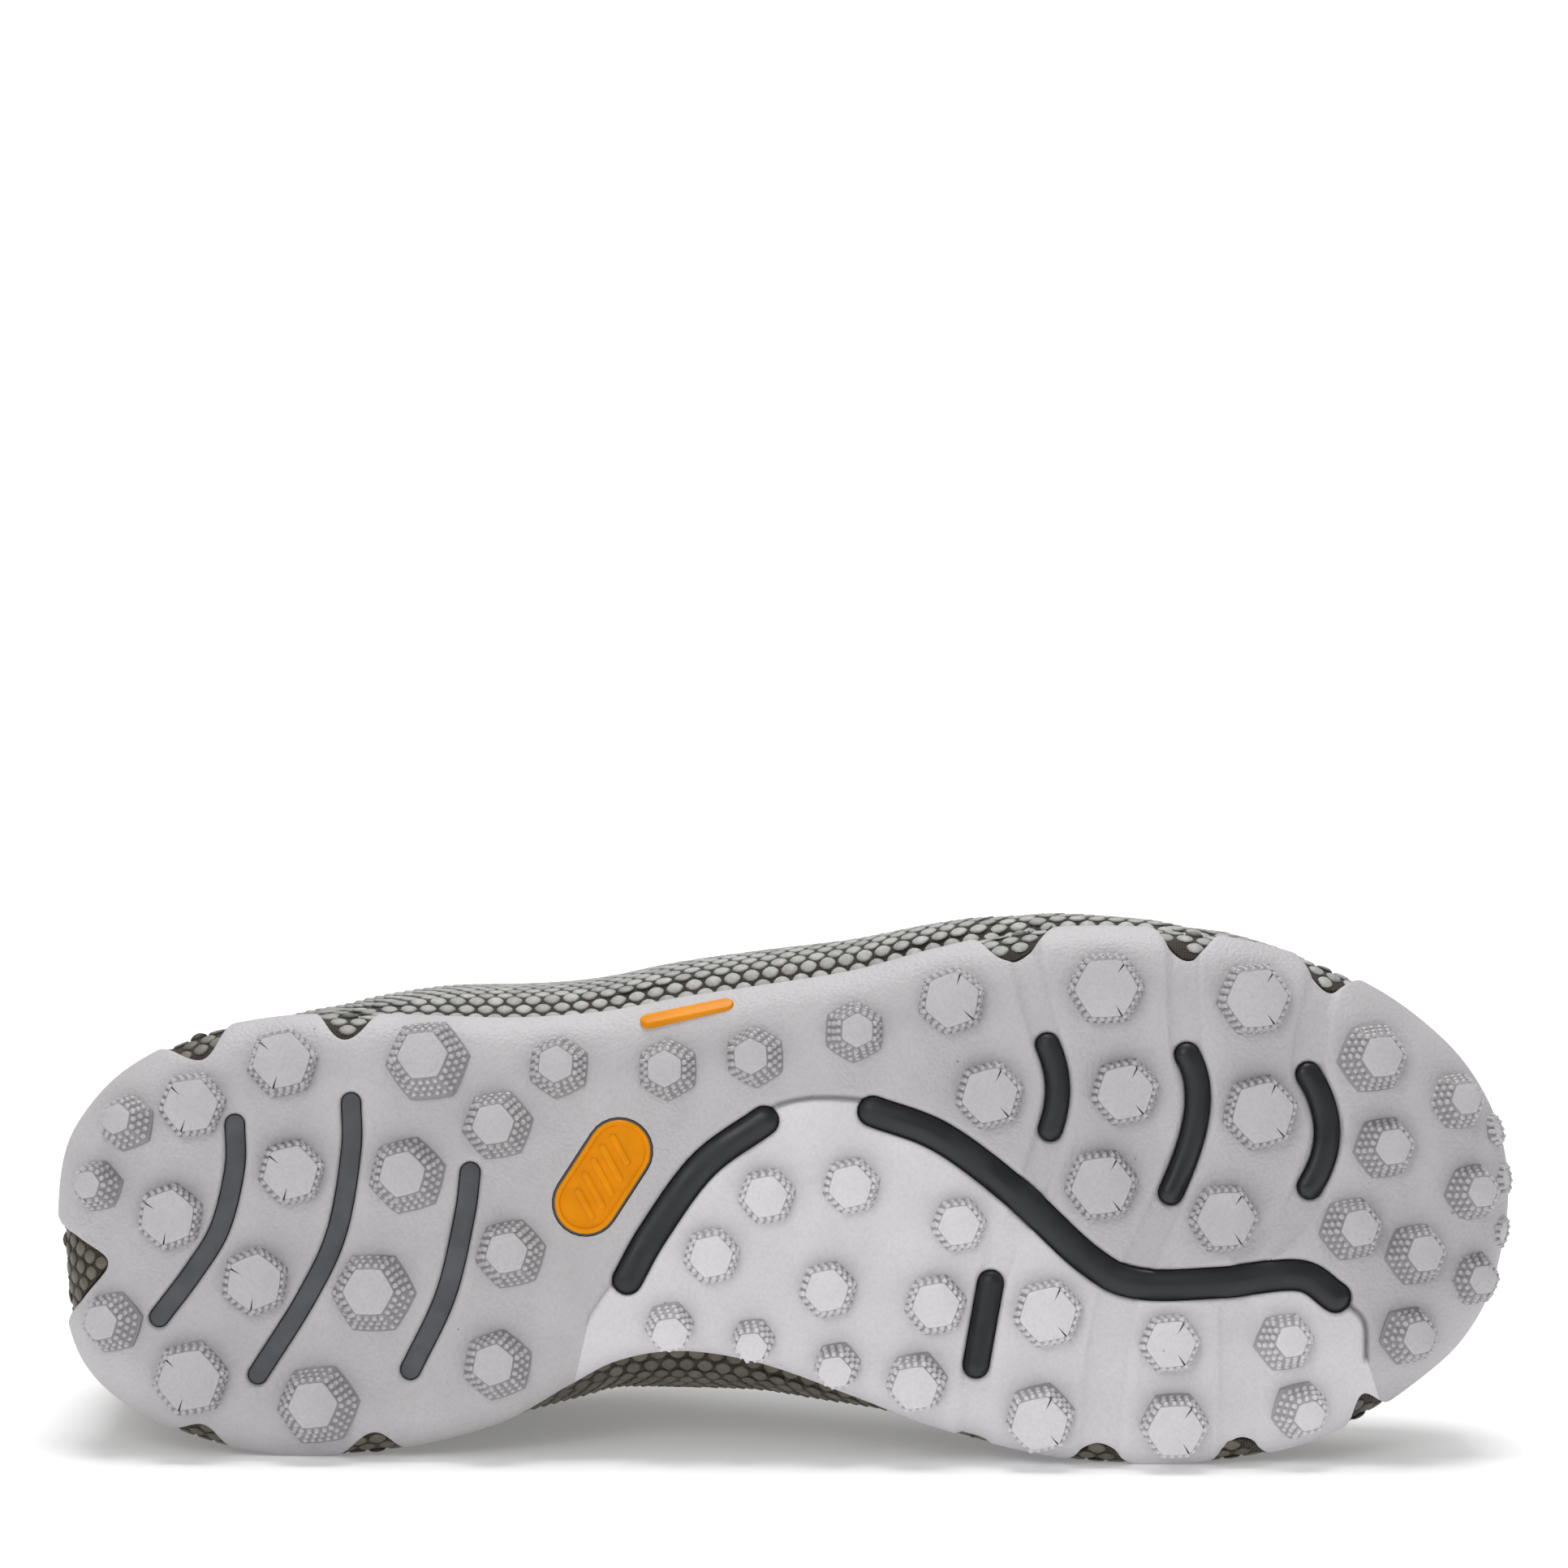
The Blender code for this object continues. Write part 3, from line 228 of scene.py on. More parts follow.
# Shallow flex channels: width and depth in metres, and the centre line in shares.
CHANNELS = {
    "first": (
        0.0056,
        0.0010,
        ((0.660, -0.53), (0.668, -0.448), (0.673, -0.388), (0.681, -0.316), (0.688, -0.24), (0.683, -0.161),
         (0.677, -0.104), (0.669, -0.037), (0.660, 0.02)),
    ),
    "first_medial": (
        0.0056, 0.0009, ((0.650, 0.05), (0.646, 0.09), (0.642, 0.122), (0.632, 0.272), (0.629, 0.46)),
    ),
    "second": (
        0.0060,
        0.0010,
        ((0.774, -0.54), (0.774, -0.448), (0.7746, -0.373), (0.777, -0.298), (0.784, -0.194),
         (0.766, -0.045), (0.7595, -0.004), (0.7494, 0.052), (0.738, 0.115)),
    ),
    "second_medial": (0.0080, 0.0009, ((0.729, 0.149), (0.7237, 0.224), (0.719, 0.328), (0.716, 0.47))),
    "third": (
        0.0064,
        0.0010,
        ((0.874, -0.46), (0.867, -0.388), (0.862, -0.321), (0.861, -0.261), (0.874, -0.157),
         (0.862, -0.055), (0.8535, -0.007), (0.839, 0.033), (0.820, 0.075)),
    ),
    "third_medial": (0.0076, 0.0009, ((0.8126, 0.17), (0.8126, 0.24), (0.8126, 0.33), (0.8126, 0.46))),
}

# Lugs: along and across are shares of the length and the ball width, size is a share of the
# lug's radius, and turn is the face's turn in degrees.
LUG_COLUMNS = ("along", "across", "size", "face", "turn")
BLOCK, BEVELLED, POINTED, FLAT, EDGE = Face.BLOCK, Face.BEVELLED, Face.POINTED, Face.FLAT, Face.EDGE
LUGS = (
    (0.048, -0.172, 0.80, POINTED, 20),
    (0.093, -0.205, 0.95, BLOCK, 8),
    (0.028, -0.055, 0.74, POINTED, 10),
    (0.155, -0.282, 1.00, BLOCK, 12),
    (0.078, 0.000, 0.95, BLOCK, 20),
    (0.161, -0.082, 0.95, BLOCK, 14),
    (0.255, -0.287, 1.18, BEVELLED, 6),
    (0.241, -0.076, 1.10, BEVELLED, 15),
    (0.303, -0.168, 1.00, BEVELLED, 10),
    (0.345, -0.275, 0.88, BEVELLED, 25),
    (0.038, 0.195, 0.88, BEVELLED, 12),
    (0.092, 0.298, 1.08, BLOCK, 10),
    (0.136, 0.119, 0.97, BLOCK, 22),
    (0.218, 0.140, 1.18, BEVELLED, 0),
    (0.180, 0.346, 1.16, BEVELLED, 6),
    (0.303, 0.272, 1.00, BEVELLED, 20),
    (0.312, 0.068, 1.00, BEVELLED, 12),
    (0.420, -0.270, 0.88, BEVELLED, 30),
    (0.480, -0.293, 0.86, BEVELLED, 32),
    (0.548, -0.340, 0.87, POINTED, 28),
    (0.615, -0.397, 0.96, BLOCK, 20),
    (0.641, -0.224, 0.97, BLOCK, 14),
    (0.721, -0.420, 1.07, BLOCK, 2),
    (0.734, -0.230, 0.97, BLOCK, 12),
    (0.718, -0.059, 1.04, BLOCK, 8),
    (0.823, -0.400, 1.06, BLOCK, 6),
    (0.827, -0.192, 1.08, BLOCK, 14),
    (0.802, 0.003, 1.00, BLOCK, 4),
    (0.905, -0.291, 1.02, BEVELLED, 6),
    (0.963, -0.209, 0.85, POINTED, 10),
    (0.913, -0.126, 0.90, BEVELLED, 8),
    (0.974, -0.042, 0.83, POINTED, 6),
    (0.890, 0.023, 0.92, BEVELLED, 10),
    (0.935, 0.071, 0.90, BEVELLED, 8),
    (0.975, 0.118, 0.80, POINTED, 4),
    (0.930, 0.221, 0.85, BEVELLED, 8),
    (0.488, -0.038, 0.81, FLAT, 10),
    (0.546, -0.057, 0.82, FLAT, 14),
    (0.450, 0.072, 0.81, FLAT, 12),
    (0.620, 0.014, 0.78, FLAT, 8),
    (0.530, 0.134, 0.82, FLAT, 12),
    (0.604, 0.161, 0.88, FLAT, 10),
    (0.421, 0.200, 0.70, FLAT, 10),
    (0.479, 0.224, 0.62, FLAT, 8),
    (0.537, 0.270, 0.66, FLAT, 12),
    (0.591, 0.303, 0.87, FLAT, 10),
    (0.681, 0.177, 0.98, BLOCK, 12),
    (0.676, 0.368, 0.98, BLOCK, 14),
    (0.765, 0.232, 0.86, BLOCK, 6),
    (0.768, 0.382, 0.96, BLOCK, 2),
    (0.844, 0.230, 0.85, POINTED, 8),
    (0.855, 0.357, 0.84, POINTED, 10),
    (0.991, -0.155, 0.54, EDGE, 0),
    (0.997, -0.064, 0.54, EDGE, 10),
    (0.995, 0.033, 0.54, EDGE, 20),
)


def named_rows(table: tuple, names: tuple) -> list[dict]:
    """A table's rows as dicts by column name."""
    return [dict(zip(names, row)) for row in table]


def column(table: tuple, names: tuple, name: str) -> Array:
    """The values in one named column of a table."""
    return np.array([row[names.index(name)] for row in table], dtype=float)


def smooth_through(xs: Array, ys: Array, x: Array) -> Array:
    """Reads a smooth curve y(x) through points that rise in x, flat past both ends.

    Args:
        xs: The points' places.
        ys: Their values.
        x: Where to read.

    Returns:
        The values there.
    """
    slopes = np.gradient(ys, xs)
    x = np.clip(x, xs[0], xs[-1])
    place = np.clip(np.searchsorted(xs, x) - 1, 0, len(xs) - 2)
    width = xs[place + 1] - xs[place]
    t = (x - xs[place]) / width
    start = (2 * t**3 - 3 * t**2 + 1) * ys[place] + (t**3 - 2 * t**2 + t) * width * slopes[place]
    end = (3 * t**2 - 2 * t**3) * ys[place + 1] + (t**3 - t**2) * width * slopes[place + 1]
    return start + end


def catmull_rom(points: Array, steps: int) -> Array:
    """Draws a smooth open line through points.

    Args:
        points: The points, one a row.
        steps: Pieces to each span.

    Returns:
        The line's points.
    """
    ends = np.vstack([2 * points[0] - points[1], points, 2 * points[-1] - points[-2]])
    t = (np.arange(steps) / steps)[:, None]
    line = []
    for a, b, c, d in zip(ends, ends[1:], ends[2:], ends[3:]):
        span = 2 * b + (c - a) * t + (2 * a - 5 * b + 4 * c - d) * t**2
        line.append(0.5 * (span + (3 * b - a - 3 * c + d) * t**3))
    return np.vstack(line + [points[-1:]])


def evenly(line: Array, step: float) -> Array:
    """Spaces points along a line.

    Args:
        line: The line's points.
        step: The wanted distance between points.

    Returns:
        Evenly spaced points, both ends kept.
    """
    run = np.concatenate([[0.0], np.cumsum(np.linalg.norm(np.diff(line, axis=0), axis=1))])
    count = max(int(round(run[-1] / step)), 1)
    places = np.linspace(0.0, run[-1], count + 1)
    return np.stack([np.interp(places, run, line[:, k]) for k in range(line.shape[1])], axis=1)


def distance_to(line: Array, points: Array) -> Array:
    """Measures how far points are from an open line.

    Args:
        line: The line's points.
        points: Places to measure from.

    Returns:
        One distance a place.
    """
    best = np.full(len(points), np.inf)
    for a, b in zip(line, line[1:]):
        along = b - a
        share = np.clip(((points - a) @ along) / max(float(along @ along), 1e-18), 0.0, 1.0)
        best = np.minimum(best, np.linalg.norm(points - a - share[:, None] * along, axis=1))
    return best


def inside(polygon: Array, points: Array) -> Array:
    """Tells which points lie in a polygon.

    Args:
        polygon: Its corners in order.
        points: Places to test.

    Returns:
        True for each place inside.
    """
    found = np.zeros(len(points), dtype=bool)
    for a, b in zip(polygon, np.roll(polygon, -1, axis=0)):
        spans = (a[1] > points[:, 1]) != (b[1] > points[:, 1])
        rise = b[1] - a[1] if b[1] != a[1] else 1e-18
        cross = (b[0] - a[0]) * (points[:, 1] - a[1]) / rise + a[0]
        found ^= spans & (points[:, 0] < cross)
    return found


def unit(rows: Array) -> Array:
    """Rows of an array, each drawn out or in to a length of 1."""
    return rows / np.linalg.norm(rows, axis=1)[:, None]


def ways(line: Array) -> Array:
    """Unit steps along a line, one at each of its points."""
    return unit(np.gradient(line, axis=0))


def turns_round(count: int) -> Array:
    """Even angles round a circle."""
    return np.linspace(0.0, 2 * math.pi, count, endpoint=False)


def plan_tree(points: Array) -> KDTree:
    """Makes a search tree over places seen from below.

    Args:
        points: The places.

    Returns:
        The tree.
    """
    tree = KDTree(len(points))
    for number, point in enumerate(points):
        tree.insert((point[0], point[1], 0.0), number)
    tree.balance()
    return tree


def cushion(count: int) -> list:
    """Faces of a low dome: a ring, a smaller one over it, a tip, and the flat underneath.

    Args:
        count: Points in each ring.

    Returns:
        Tuples of point numbers.
    """
    faces = [(k, (k + 1) % count, count + (k + 1) % count, count + k) for k in range(count)]
    faces += [(count + k, count + (k + 1) % count, 2 * count) for k in range(count)]
    return faces + [tuple(range(count))[::-1]]


def eased(share: Array) -> Array:
    """Smooth step from 0 to 1."""
    t = np.clip(share, 0.0, 1.0)
    return t * t * (3 - 2 * t)


@dataclass(frozen=True)
class Last:
    """The form that the shoe is built round, with its driving sizes."""

    length: float = 0.298
    ball_width: float = 0.1116
    instep: float = 0.106
    collar: float = 0.098
    throat: float = 0.034
    lug_height: float = 0.0045
    curl: float = 0.011
    rim_setback: float = 0.0004
    toe_spring: float = 0.015
    heel_bevel: float = 0.006
    arch_rise: float = 0.0015
    heel_stack: float = 0.028
    ball_stack: float = 0.022
    heel_fan: float = 0.042
    toe_fan: float = 0.040
    notch_dent: float = 0.0015
    notch_density: float = 2.2
    peak: float = 0.28

    def sized(self, points: tuple) -> Array:
        """Turns shares of length and ball width into metres."""
        return np.array(points, dtype=float) * (self.length, self.ball_width)

    def upper_value(self, name: str, x: Array) -> Array:
        """Reads a column of the upper's table at lengths x."""
        along = column(UPPER, UPPER_COLUMNS, "along") * self.length
        return smooth_through(along, column(UPPER, UPPER_COLUMNS, name), x)

    def ground(self, x: Array) -> Array:
        """Height of the tread's plane over the floor: heel bevel, arch and toe spring.

        Args:
            x: Lengths from the heel.

        Returns:
            The heights.
        """
        share = np.asarray(x) / self.length
        toe = self.toe_spring * np.clip((share - 0.74) / 0.26, 0.0, None) ** 2
        heel = self.heel_bevel * np.clip((0.11 - share) / 0.11, 0.0, None) ** 2
        arch = self.arch_rise * np.cos(np.pi * np.clip((share - 0.44) / 0.3, -0.5, 0.5)) ** 2
        return toe + heel + arch

    def stack(self, x: Array) -> Array:
        """Thickness of sole under the insole, over the tread's plane."""
        ease = eased((np.asarray(x) / self.length - 0.25) / 0.4)
        return self.heel_stack + (self.ball_stack - self.heel_stack) * ease

    def ridge(self, x: Array) -> Array:
        """The upper's ridge from above.

        Args:
            x: Lengths from the heel.

        Returns:
            The ridge's places across.
        """
        along = column(OUTLINE, OUTLINE_COLUMNS, "along") * self.length
        lateral = column(OUTLINE, OUTLINE_COLUMNS, "lateral")
        medial = column(OUTLINE, OUTLINE_COLUMNS, "medial")
        middle = smooth_through(along, 0.5 * (lateral + medial), x)
        return (middle + self.upper_value("ridge", x)) * self.ball_width

    def throat_half(self, x: Array) -> Array:
        """Half of the throat's width at lengths x, below zero past its front.

        Args:
            x: Lengths from the heel.

        Returns:
            Half of the width.
        """
        along = column(THROAT, THROAT_COLUMNS, "along") * self.length
        half = column(THROAT, THROAT_COLUMNS, "half") * self.throat
        return np.where(x > along[-1], -1.0, np.interp(x, along, half))

    def topline(self, x: Array) -> Array:
        """Height of the collar's edge at lengths x, out of reach past its front.

        Args:
            x: Lengths from the heel.

        Returns:
            The heights.
        """
        points = np.array(TOPLINE) * (self.length, self.collar)
        line = catmull_rom(points, 8)
        return np.where(x > line[-1, 0], 1.0, np.interp(x, line[:, 0], line[:, 1]))


class Girth:
    """Stations round the sole's outline, each with the spine point that it faces."""

    def __init__(self, last: Last, shares: Array) -> None:
        """Works out the stations.

        Args:
            last: The shoe's form.
            shares: Rising shares of each side's run, from 0 at the heel to 1 at the toe.
        """
        self.last = last
        along = column(OUTLINE, OUTLINE_COLUMNS, "along") * last.length
        sides = [column(OUTLINE, OUTLINE_COLUMNS, name) * last.ball_width for name in ("lateral", "medial")]
        there = np.stack([along, sides[0]], axis=1)
        back = np.stack([along, sides[1]], axis=1)[-2:0:-1]
        rows = np.vstack([there, back])
        steps = 36
        curve = catmull_rom(np.vstack([rows[-1:], rows, rows[:2]]), steps)[steps:-steps]
        toe = steps * (len(OUTLINE) - 1)
        lateral = self.spread(curve[: toe + 1], Side.LATERAL, shares)
        medial = self.spread(curve[toe:][::-1], Side.MEDIAL, shares)
        middle = 0.5 * (lateral + medial)
        x = np.clip(middle[:, 0], last.heel_fan, last.length - last.toe_fan)
        spine = np.stack([x, np.interp(x, middle[:, 0], middle[:, 1])], axis=1)
        half = len(shares) - 1
        self.half = half
        self.count = 2 * half
        self.base = np.vstack([lateral, medial[-2:0:-1]])
        self.spine = np.vstack([spine, spine[-2:0:-1]])
        self.side = np.array([-1.0] * (half + 1) + [1.0] * (half - 1))
        tangent = np.roll(self.base, -1, axis=0) - np.roll(self.base, 1, axis=0)
        normal = unit(np.stack([-tangent[:, 1], tangent[:, 0]], axis=1))
        across = self.spine - self.base
        self.reach = np.linalg.norm(across, axis=1)
        facing = np.sum(across / self.reach[:, None] * normal, axis=1)
        self.outward = -normal * np.sign(facing)[:, None]
        self.inward = across / self.reach[:, None] / np.maximum(np.abs(facing), 0.5)[:, None]
        self.depth = self.notch_depth()
        self.rim = np.arcsin(np.clip(1 - self.depth / last.curl, 0.02, 1.0))

    def spread(self, line: Array, side: Side, shares: Array) -> Array:
        """Places stations along one side, closer together at its notches.

        Args:
            line: That side of the outline.
            side: Which side it is.
            shares: Shares of its weighted run.

        Returns:
            The stations' places.
        """
        pieces = np.linalg.norm(np.diff(line, axis=0), axis=1)
        middles = 0.5 * (line[1:] + line[:-1])
        weight = np.ones(len(pieces))
        for notch in named_rows(NOTCHES, NOTCH_COLUMNS):
            if notch["side"] != side.value:
                continue
            centre = line[np.argmin(np.abs(line[:, 0] - notch["along"] * self.last.length))]
            away = np.linalg.norm(middles - centre, axis=1)
            weight = np.where(away < 1.2 * notch["half_width"], self.last.notch_density, weight)
        run = np.concatenate([[0.0], np.cumsum(pieces * weight)])
        return np.stack([np.interp(shares * run[-1], run, line[:, k]) for k in (0, 1)], axis=1)

    def notch_depth(self) -> Array:
        """How far the curled edge is cut back at each station.

        Returns:
            One depth a station.
        """
        depth = np.full(self.count, self.last.rim_setback)
        for notch in named_rows(NOTCHES, NOTCH_COLUMNS):
            off = np.abs(self.base[:, 0] - notch["along"] * self.last.length)
            centre = self.base[np.argmin(np.where(self.side == notch["side"], off, np.inf))]
            away = np.linalg.norm(self.base - centre, axis=1) / notch["half_width"]
            depth += notch["depth"] * 0.5 * (1 + np.cos(np.pi * np.clip(away, 0.0, 1.0)))
        return depth

    def station(self, along: float, side: Side) -> int:
        """Number of the station nearest a share of the length on one side."""
        off = np.abs(self.base[:, 0] - along * self.last.length)
        return int(np.argmin(np.where(self.side == side.value, off, np.inf)))

    def curl_ring(self, radius: Array, angle: Array) -> Array:
        """A ring round the quarter-round edge of the sole.

        Args:
            radius: Distance from the curl's centre line.
            angle: Angle up the curl.

        Returns:
            The ring's points.
        """
        last = self.last
        inset = last.curl - radius * np.sin(angle)
        place = self.base + self.inward * np.reshape(inset, (-1, 1))
        height = last.ground(place[:, 0]) + last.lug_height + last.curl - radius * np.cos(angle)
        return np.column_stack([place, height])

    def floor_ring(self, share: float, over: float) -> Array:
        """A ring on the flat of the sole, share 0 at the curl and 1 at the spine.

        Args:
            share: Share of the way to the spine.
            over: Height over the rubber's underside.

        Returns:
            The ring's points.
        """
        edge = self.base + self.inward * self.last.curl
        place = edge + (self.spine - edge) * share
        return np.column_stack([place, self.last.ground(place[:, 0]) + self.last.lug_height + over])

    def section(self) -> tuple:
        """Spring height, crown height and squareness of the section at each station.

        Returns:
            The three arrays.
        """
        last = self.last
        spring = last.ground(self.base[:, 0]) + last.lug_height + last.curl
        crown = last.upper_value("crown", self.spine[:, 0]) * last.instep
        return spring, crown, last.upper_value("square", self.spine[:, 0])

    def dome_ring(self, rise: Array, inset: Array, lower: float) -> Array:
        """Gives a ring round the upper.

        Args:
            rise: Share of the section's height at each station.
            inset: How far the ring is moved in from the side.
            lower: How far the crown is lowered.

        Returns:
            The ring's points.
        """
        last = self.last
        spring, crown, square = self.section()
        closing = 1 - (1 - np.clip(rise, 0.0, 1.0) ** square) ** (1 / square)
        ridge = self.spine.copy()
        ridge[:, 1] += last.upper_value("ridge", ridge[:, 0]) * last.ball_width
        lateral = last.upper_value("lateral_bulge", self.base[:, 0])
        medial = last.upper_value("medial_bulge", self.base[:, 0])
        bulge = np.where(self.side < 0, lateral, medial) * last.ball_width
        middle = 0.5 * (lateral + medial) * last.ball_width
        bulge = middle + (bulge - middle) * np.abs(self.outward[:, 1])
        swell = bulge * np.sin(np.pi * np.clip(rise, 0.0, 1.0) ** (np.log(0.5) / np.log(last.peak)))
        cut = (self.depth - last.rim_setback) / last.curl
        dent = last.notch_dent * cut * 2 * (1 - rise) ** 6
        edge = self.base + self.inward * np.reshape(inset, (-1, 1)) + self.outward * (swell - dent)[:, None]
        place = edge + (ridge - edge) * closing[:, None]
        return np.column_stack([place, spring + (crown - lower - spring) * rise])

    def rise_to(self, over: float, lower: float) -> Array:
        """The share of the section's height that reaches the footbed and a little over it.

        Args:
            over: Height over the footbed.
            lower: How far the crown is lowered.

        Returns:
            The shares.
        """
        spring, crown, _ = self.section()
        x = self.base[:, 0]
        height = self.last.ground(x) + self.last.stack(x) + over
        return np.clip((height - spring) / (crown - lower - spring), 0.0, 1.0)


def lying() -> Matrix:
    """Where the standing shoe goes in the frame."""
    turn = Matrix.Rotation(PITCH, 4, "Y") @ Matrix.Rotation(-math.pi / 2 - LEAN, 4, "X")
    return Matrix.Translation(HEEL_POINT) @ turn


def laid(points: Array) -> Array:
    """Standing points, laid down into the frame."""
    place = np.array(lying())
    return np.asarray(points) @ place[:3, :3].T + place[:3, 3]


def pressed(points: Array) -> Array:
    """Standing points, pressed nearly flat where they would go under the floor once laid.

    Args:
        points: Standing points.

    Returns:
        The points, still standing.
    """
    place, placed = np.array(lying()), laid(points)
    placed[:, 2] = np.where(placed[:, 2] < 0, PRESSED_SHARE * placed[:, 2], placed[:, 2])
    return (placed - place[:3, 3]) @ place[:3, :3]


class Shape:
    """A mesh being put together from points and faces."""

    def __init__(self) -> None:
        """Starts empty."""
        self.points: list[Array] = []
        self.faces: list[tuple] = []
        self.looks: list[int] = []
        self.total = 0

    def add(self, points: Array, faces: list, look: int = 0) -> int:
        """Adds points and faces that count from the first of them.

        Args:
            points: One point a row.
            faces: Tuples of point numbers.
            look: Number of the material.

        Returns:
            The number that the first point has got.
        """
        start = self.total
        self.points.append(np.asarray(points, dtype=float))
        self.faces += [tuple(start + k for k in face) for face in faces]
        self.looks += [look] * len(faces)
        self.total += len(points)
        return start

    def rings(self, rings: list, closed: bool = True, look: int = 0, caps: bool = False) -> int:
        """Adds a skin through rings of as many points each.

        Args:
            rings: Rings of points.
            closed: Whether each ring is closed.
            look: Number of the material.
            caps: Whether the first and last rings are filled.

        Returns:
            The number that the first point has got.
        """
        count = len(rings[0])
        faces = []
        for row in range(len(rings) - 1):
            for k in range(count if closed else count - 1):
                n = (k + 1) % count
                low, high = row * count, (row + 1) * count
                faces.append((low + k, low + n, high + n, high + k))
        if caps:
            faces.append(tuple(range(count))[::-1])
            faces.append(tuple(range((len(rings) - 1) * count, len(rings) * count)))
        return self.add(np.vstack(rings), faces, look)

    def mesh(self, name: str, weld: float = 2e-6, sharp: float = 40.0, closed: bool = False) -> Mesh:
        """Makes a standing mesh with welded points and outward faces.

        Args:
            name: The mesh's name.
            weld: Points closer than this are joined.
            sharp: Edges bent more than this, in degrees, stay sharp.
            closed: Whether slits that are left open are filled.

        Returns:
            The mesh.
        """
        mesh = bpy.data.meshes.new(name)
        mesh.from_pydata(np.vstack(self.points).tolist(), [], self.faces)
        mesh.polygons.foreach_set("material_index", self.looks)
        bm = bmesh.new()
        bm.from_mesh(mesh)
        bmesh.ops.remove_doubles(bm, verts=bm.verts, dist=weld)
        bmesh.ops.dissolve_degenerate(bm, edges=bm.edges, dist=1e-7)
        if closed:
            bmesh.ops.holes_fill(bm, edges=[edge for edge in bm.edges if edge.is_boundary], sides=0)
        bmesh.ops.recalc_face_normals(bm, faces=bm.faces)
        bm.to_mesh(mesh)
        bm.free()
        mesh.shade_smooth()
        mesh.set_sharp_from_angle(angle=math.radians(sharp))
        return mesh


def place_piece(name: str, mesh: Mesh, looks: list, nodes: tuple = ()) -> Piece:
    """Puts a standing mesh into the frame as a piece of the shoe.

    Args:
        name: The piece's name.
        mesh: Its standing mesh.
        looks: Its materials in order.
        nodes: Names of the solids that it stands for.

    Returns:
        The piece.
    """
    mesh.transform(lying())
    for look in looks:
        mesh.materials.append(look)
    piece = bpy.data.objects.new(name, mesh)
    bpy.context.scene.collection.objects.link(piece)
    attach(piece, BODY)
    if nodes:
        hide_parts(*nodes)
    return piece


def cut_from(mesh: Mesh, cutter: Mesh) -> Mesh:
    """Cuts one mesh from another.

    Args:
        mesh: The mesh to cut.
        cutter: The mesh to take away.

    Returns:
        The cut mesh.
    """
    body = bpy.data.objects.new("body", mesh)
    tool = bpy.data.objects.new("tool", cutter)
    for item in (body, tool):
        bpy.context.scene.collection.objects.link(item)
    modifier = body.modifiers.new("cut", "BOOLEAN")
    modifier.operation = "DIFFERENCE"
    modifier.solver = "EXACT"
    modifier.object = tool
    bpy.context.view_layer.update()
    result = bpy.data.meshes.new_from_object(body.evaluated_get(bpy.context.evaluated_depsgraph_get()))
    for item in (body, tool):
        bpy.data.objects.remove(item)
    return result


class Board:
    """A node tree being wired."""

    def __init__(self, tree: NodeTree) -> None:
        """Takes the tree to wire."""
        self.tree = tree

    def fill(self, node: bpy.types.Node, inputs: dict) -> None:
        """Links or sets a node's inputs.

        Args:
            node: The node.
            inputs: Values or sockets by input name or number.
        """
        for name, value in inputs.items():
            if isinstance(value, Socket):
                self.tree.links.new(value, node.inputs[name])
            else:
                node.inputs[name].default_value = value

    def add(self, kind: str, inputs: dict | None = None, **settings: object) -> bpy.types.Node:
        """Adds a node.

        Args:
            kind: The node's type.
            inputs: Values or sockets by input name or number.
            settings: The node's own properties.

        Returns:
            The node.
        """
        node = self.tree.nodes.new(kind)
        for name, value in settings.items():
            setattr(node, name, value)
        self.fill(node, inputs or {})
        return node

    def effect(self, group: NodeTree, **inputs: object) -> bpy.types.Node:
        """Places a node group with its inputs by name."""
        return self.add("ShaderNodeGroup", inputs, node_tree=group)

    def math(self, operation: str, *values: object) -> Socket:
        """Output of a Math node."""
        return self.add("ShaderNodeMath", dict(enumerate(values)), operation=operation).outputs[0]

    def grey(self, value: object) -> Socket:
        """A value as a grey colour."""
        return self.add("ShaderNodeCombineXYZ", {0: value, 1: value, 2: value}).outputs[0]

    def mix(self, share: object, first: object, second: object, blend: str = "MIX") -> Socket:
        """Colour output of a Mix node."""
        values = {0: share, 6: first, 7: second}
        return self.add("ShaderNodeMix", values, data_type="RGBA", blend_type=blend).outputs[2]

    def ramp(self, value: object, low: float, high: float) -> Socket:
        """A value from low to high spread to 0 to 1, smoothly."""
        inputs = {"Value": value, "From Min": low, "From Max": high}
        return self.add("ShaderNodeMapRange", inputs, interpolation_type="SMOOTHSTEP").outputs[0]

    def attribute(self, name: str) -> Socket:
        """A value that the mesh keeps."""
        return self.add("ShaderNodeAttribute", {}, attribute_name=name).outputs["Fac"]


def new_group(name: str, inputs: dict, outputs: dict) -> tuple:
    """Starts a shader node group with named sockets.

    Args:
        name: The group's name.
        inputs: Socket kinds and defaults by input name.
        outputs: Socket kinds by output name.

    Returns:
        The board, the group's inputs, its output node and one over its pitch.
    """
    tree = bpy.data.node_groups.new(name, "ShaderNodeTree")
    for label, (kind, default) in inputs.items():
        socket = tree.interface.new_socket(label, in_out="INPUT", socket_type=kind)
        if default is not None:
            socket.default_value = default
    for label, kind in outputs.items():
        tree.interface.new_socket(label, in_out="OUTPUT", socket_type=kind)
    board = Board(tree)
    given, result = board.add("NodeGroupInput").outputs, board.add("NodeGroupOutput")
    return board, given, result, board.math("DIVIDE", 1.0, given["Pitch"])


FLOAT, VECTOR, COLOUR = "NodeSocketFloat", "NodeSocketVector", "NodeSocketColor"


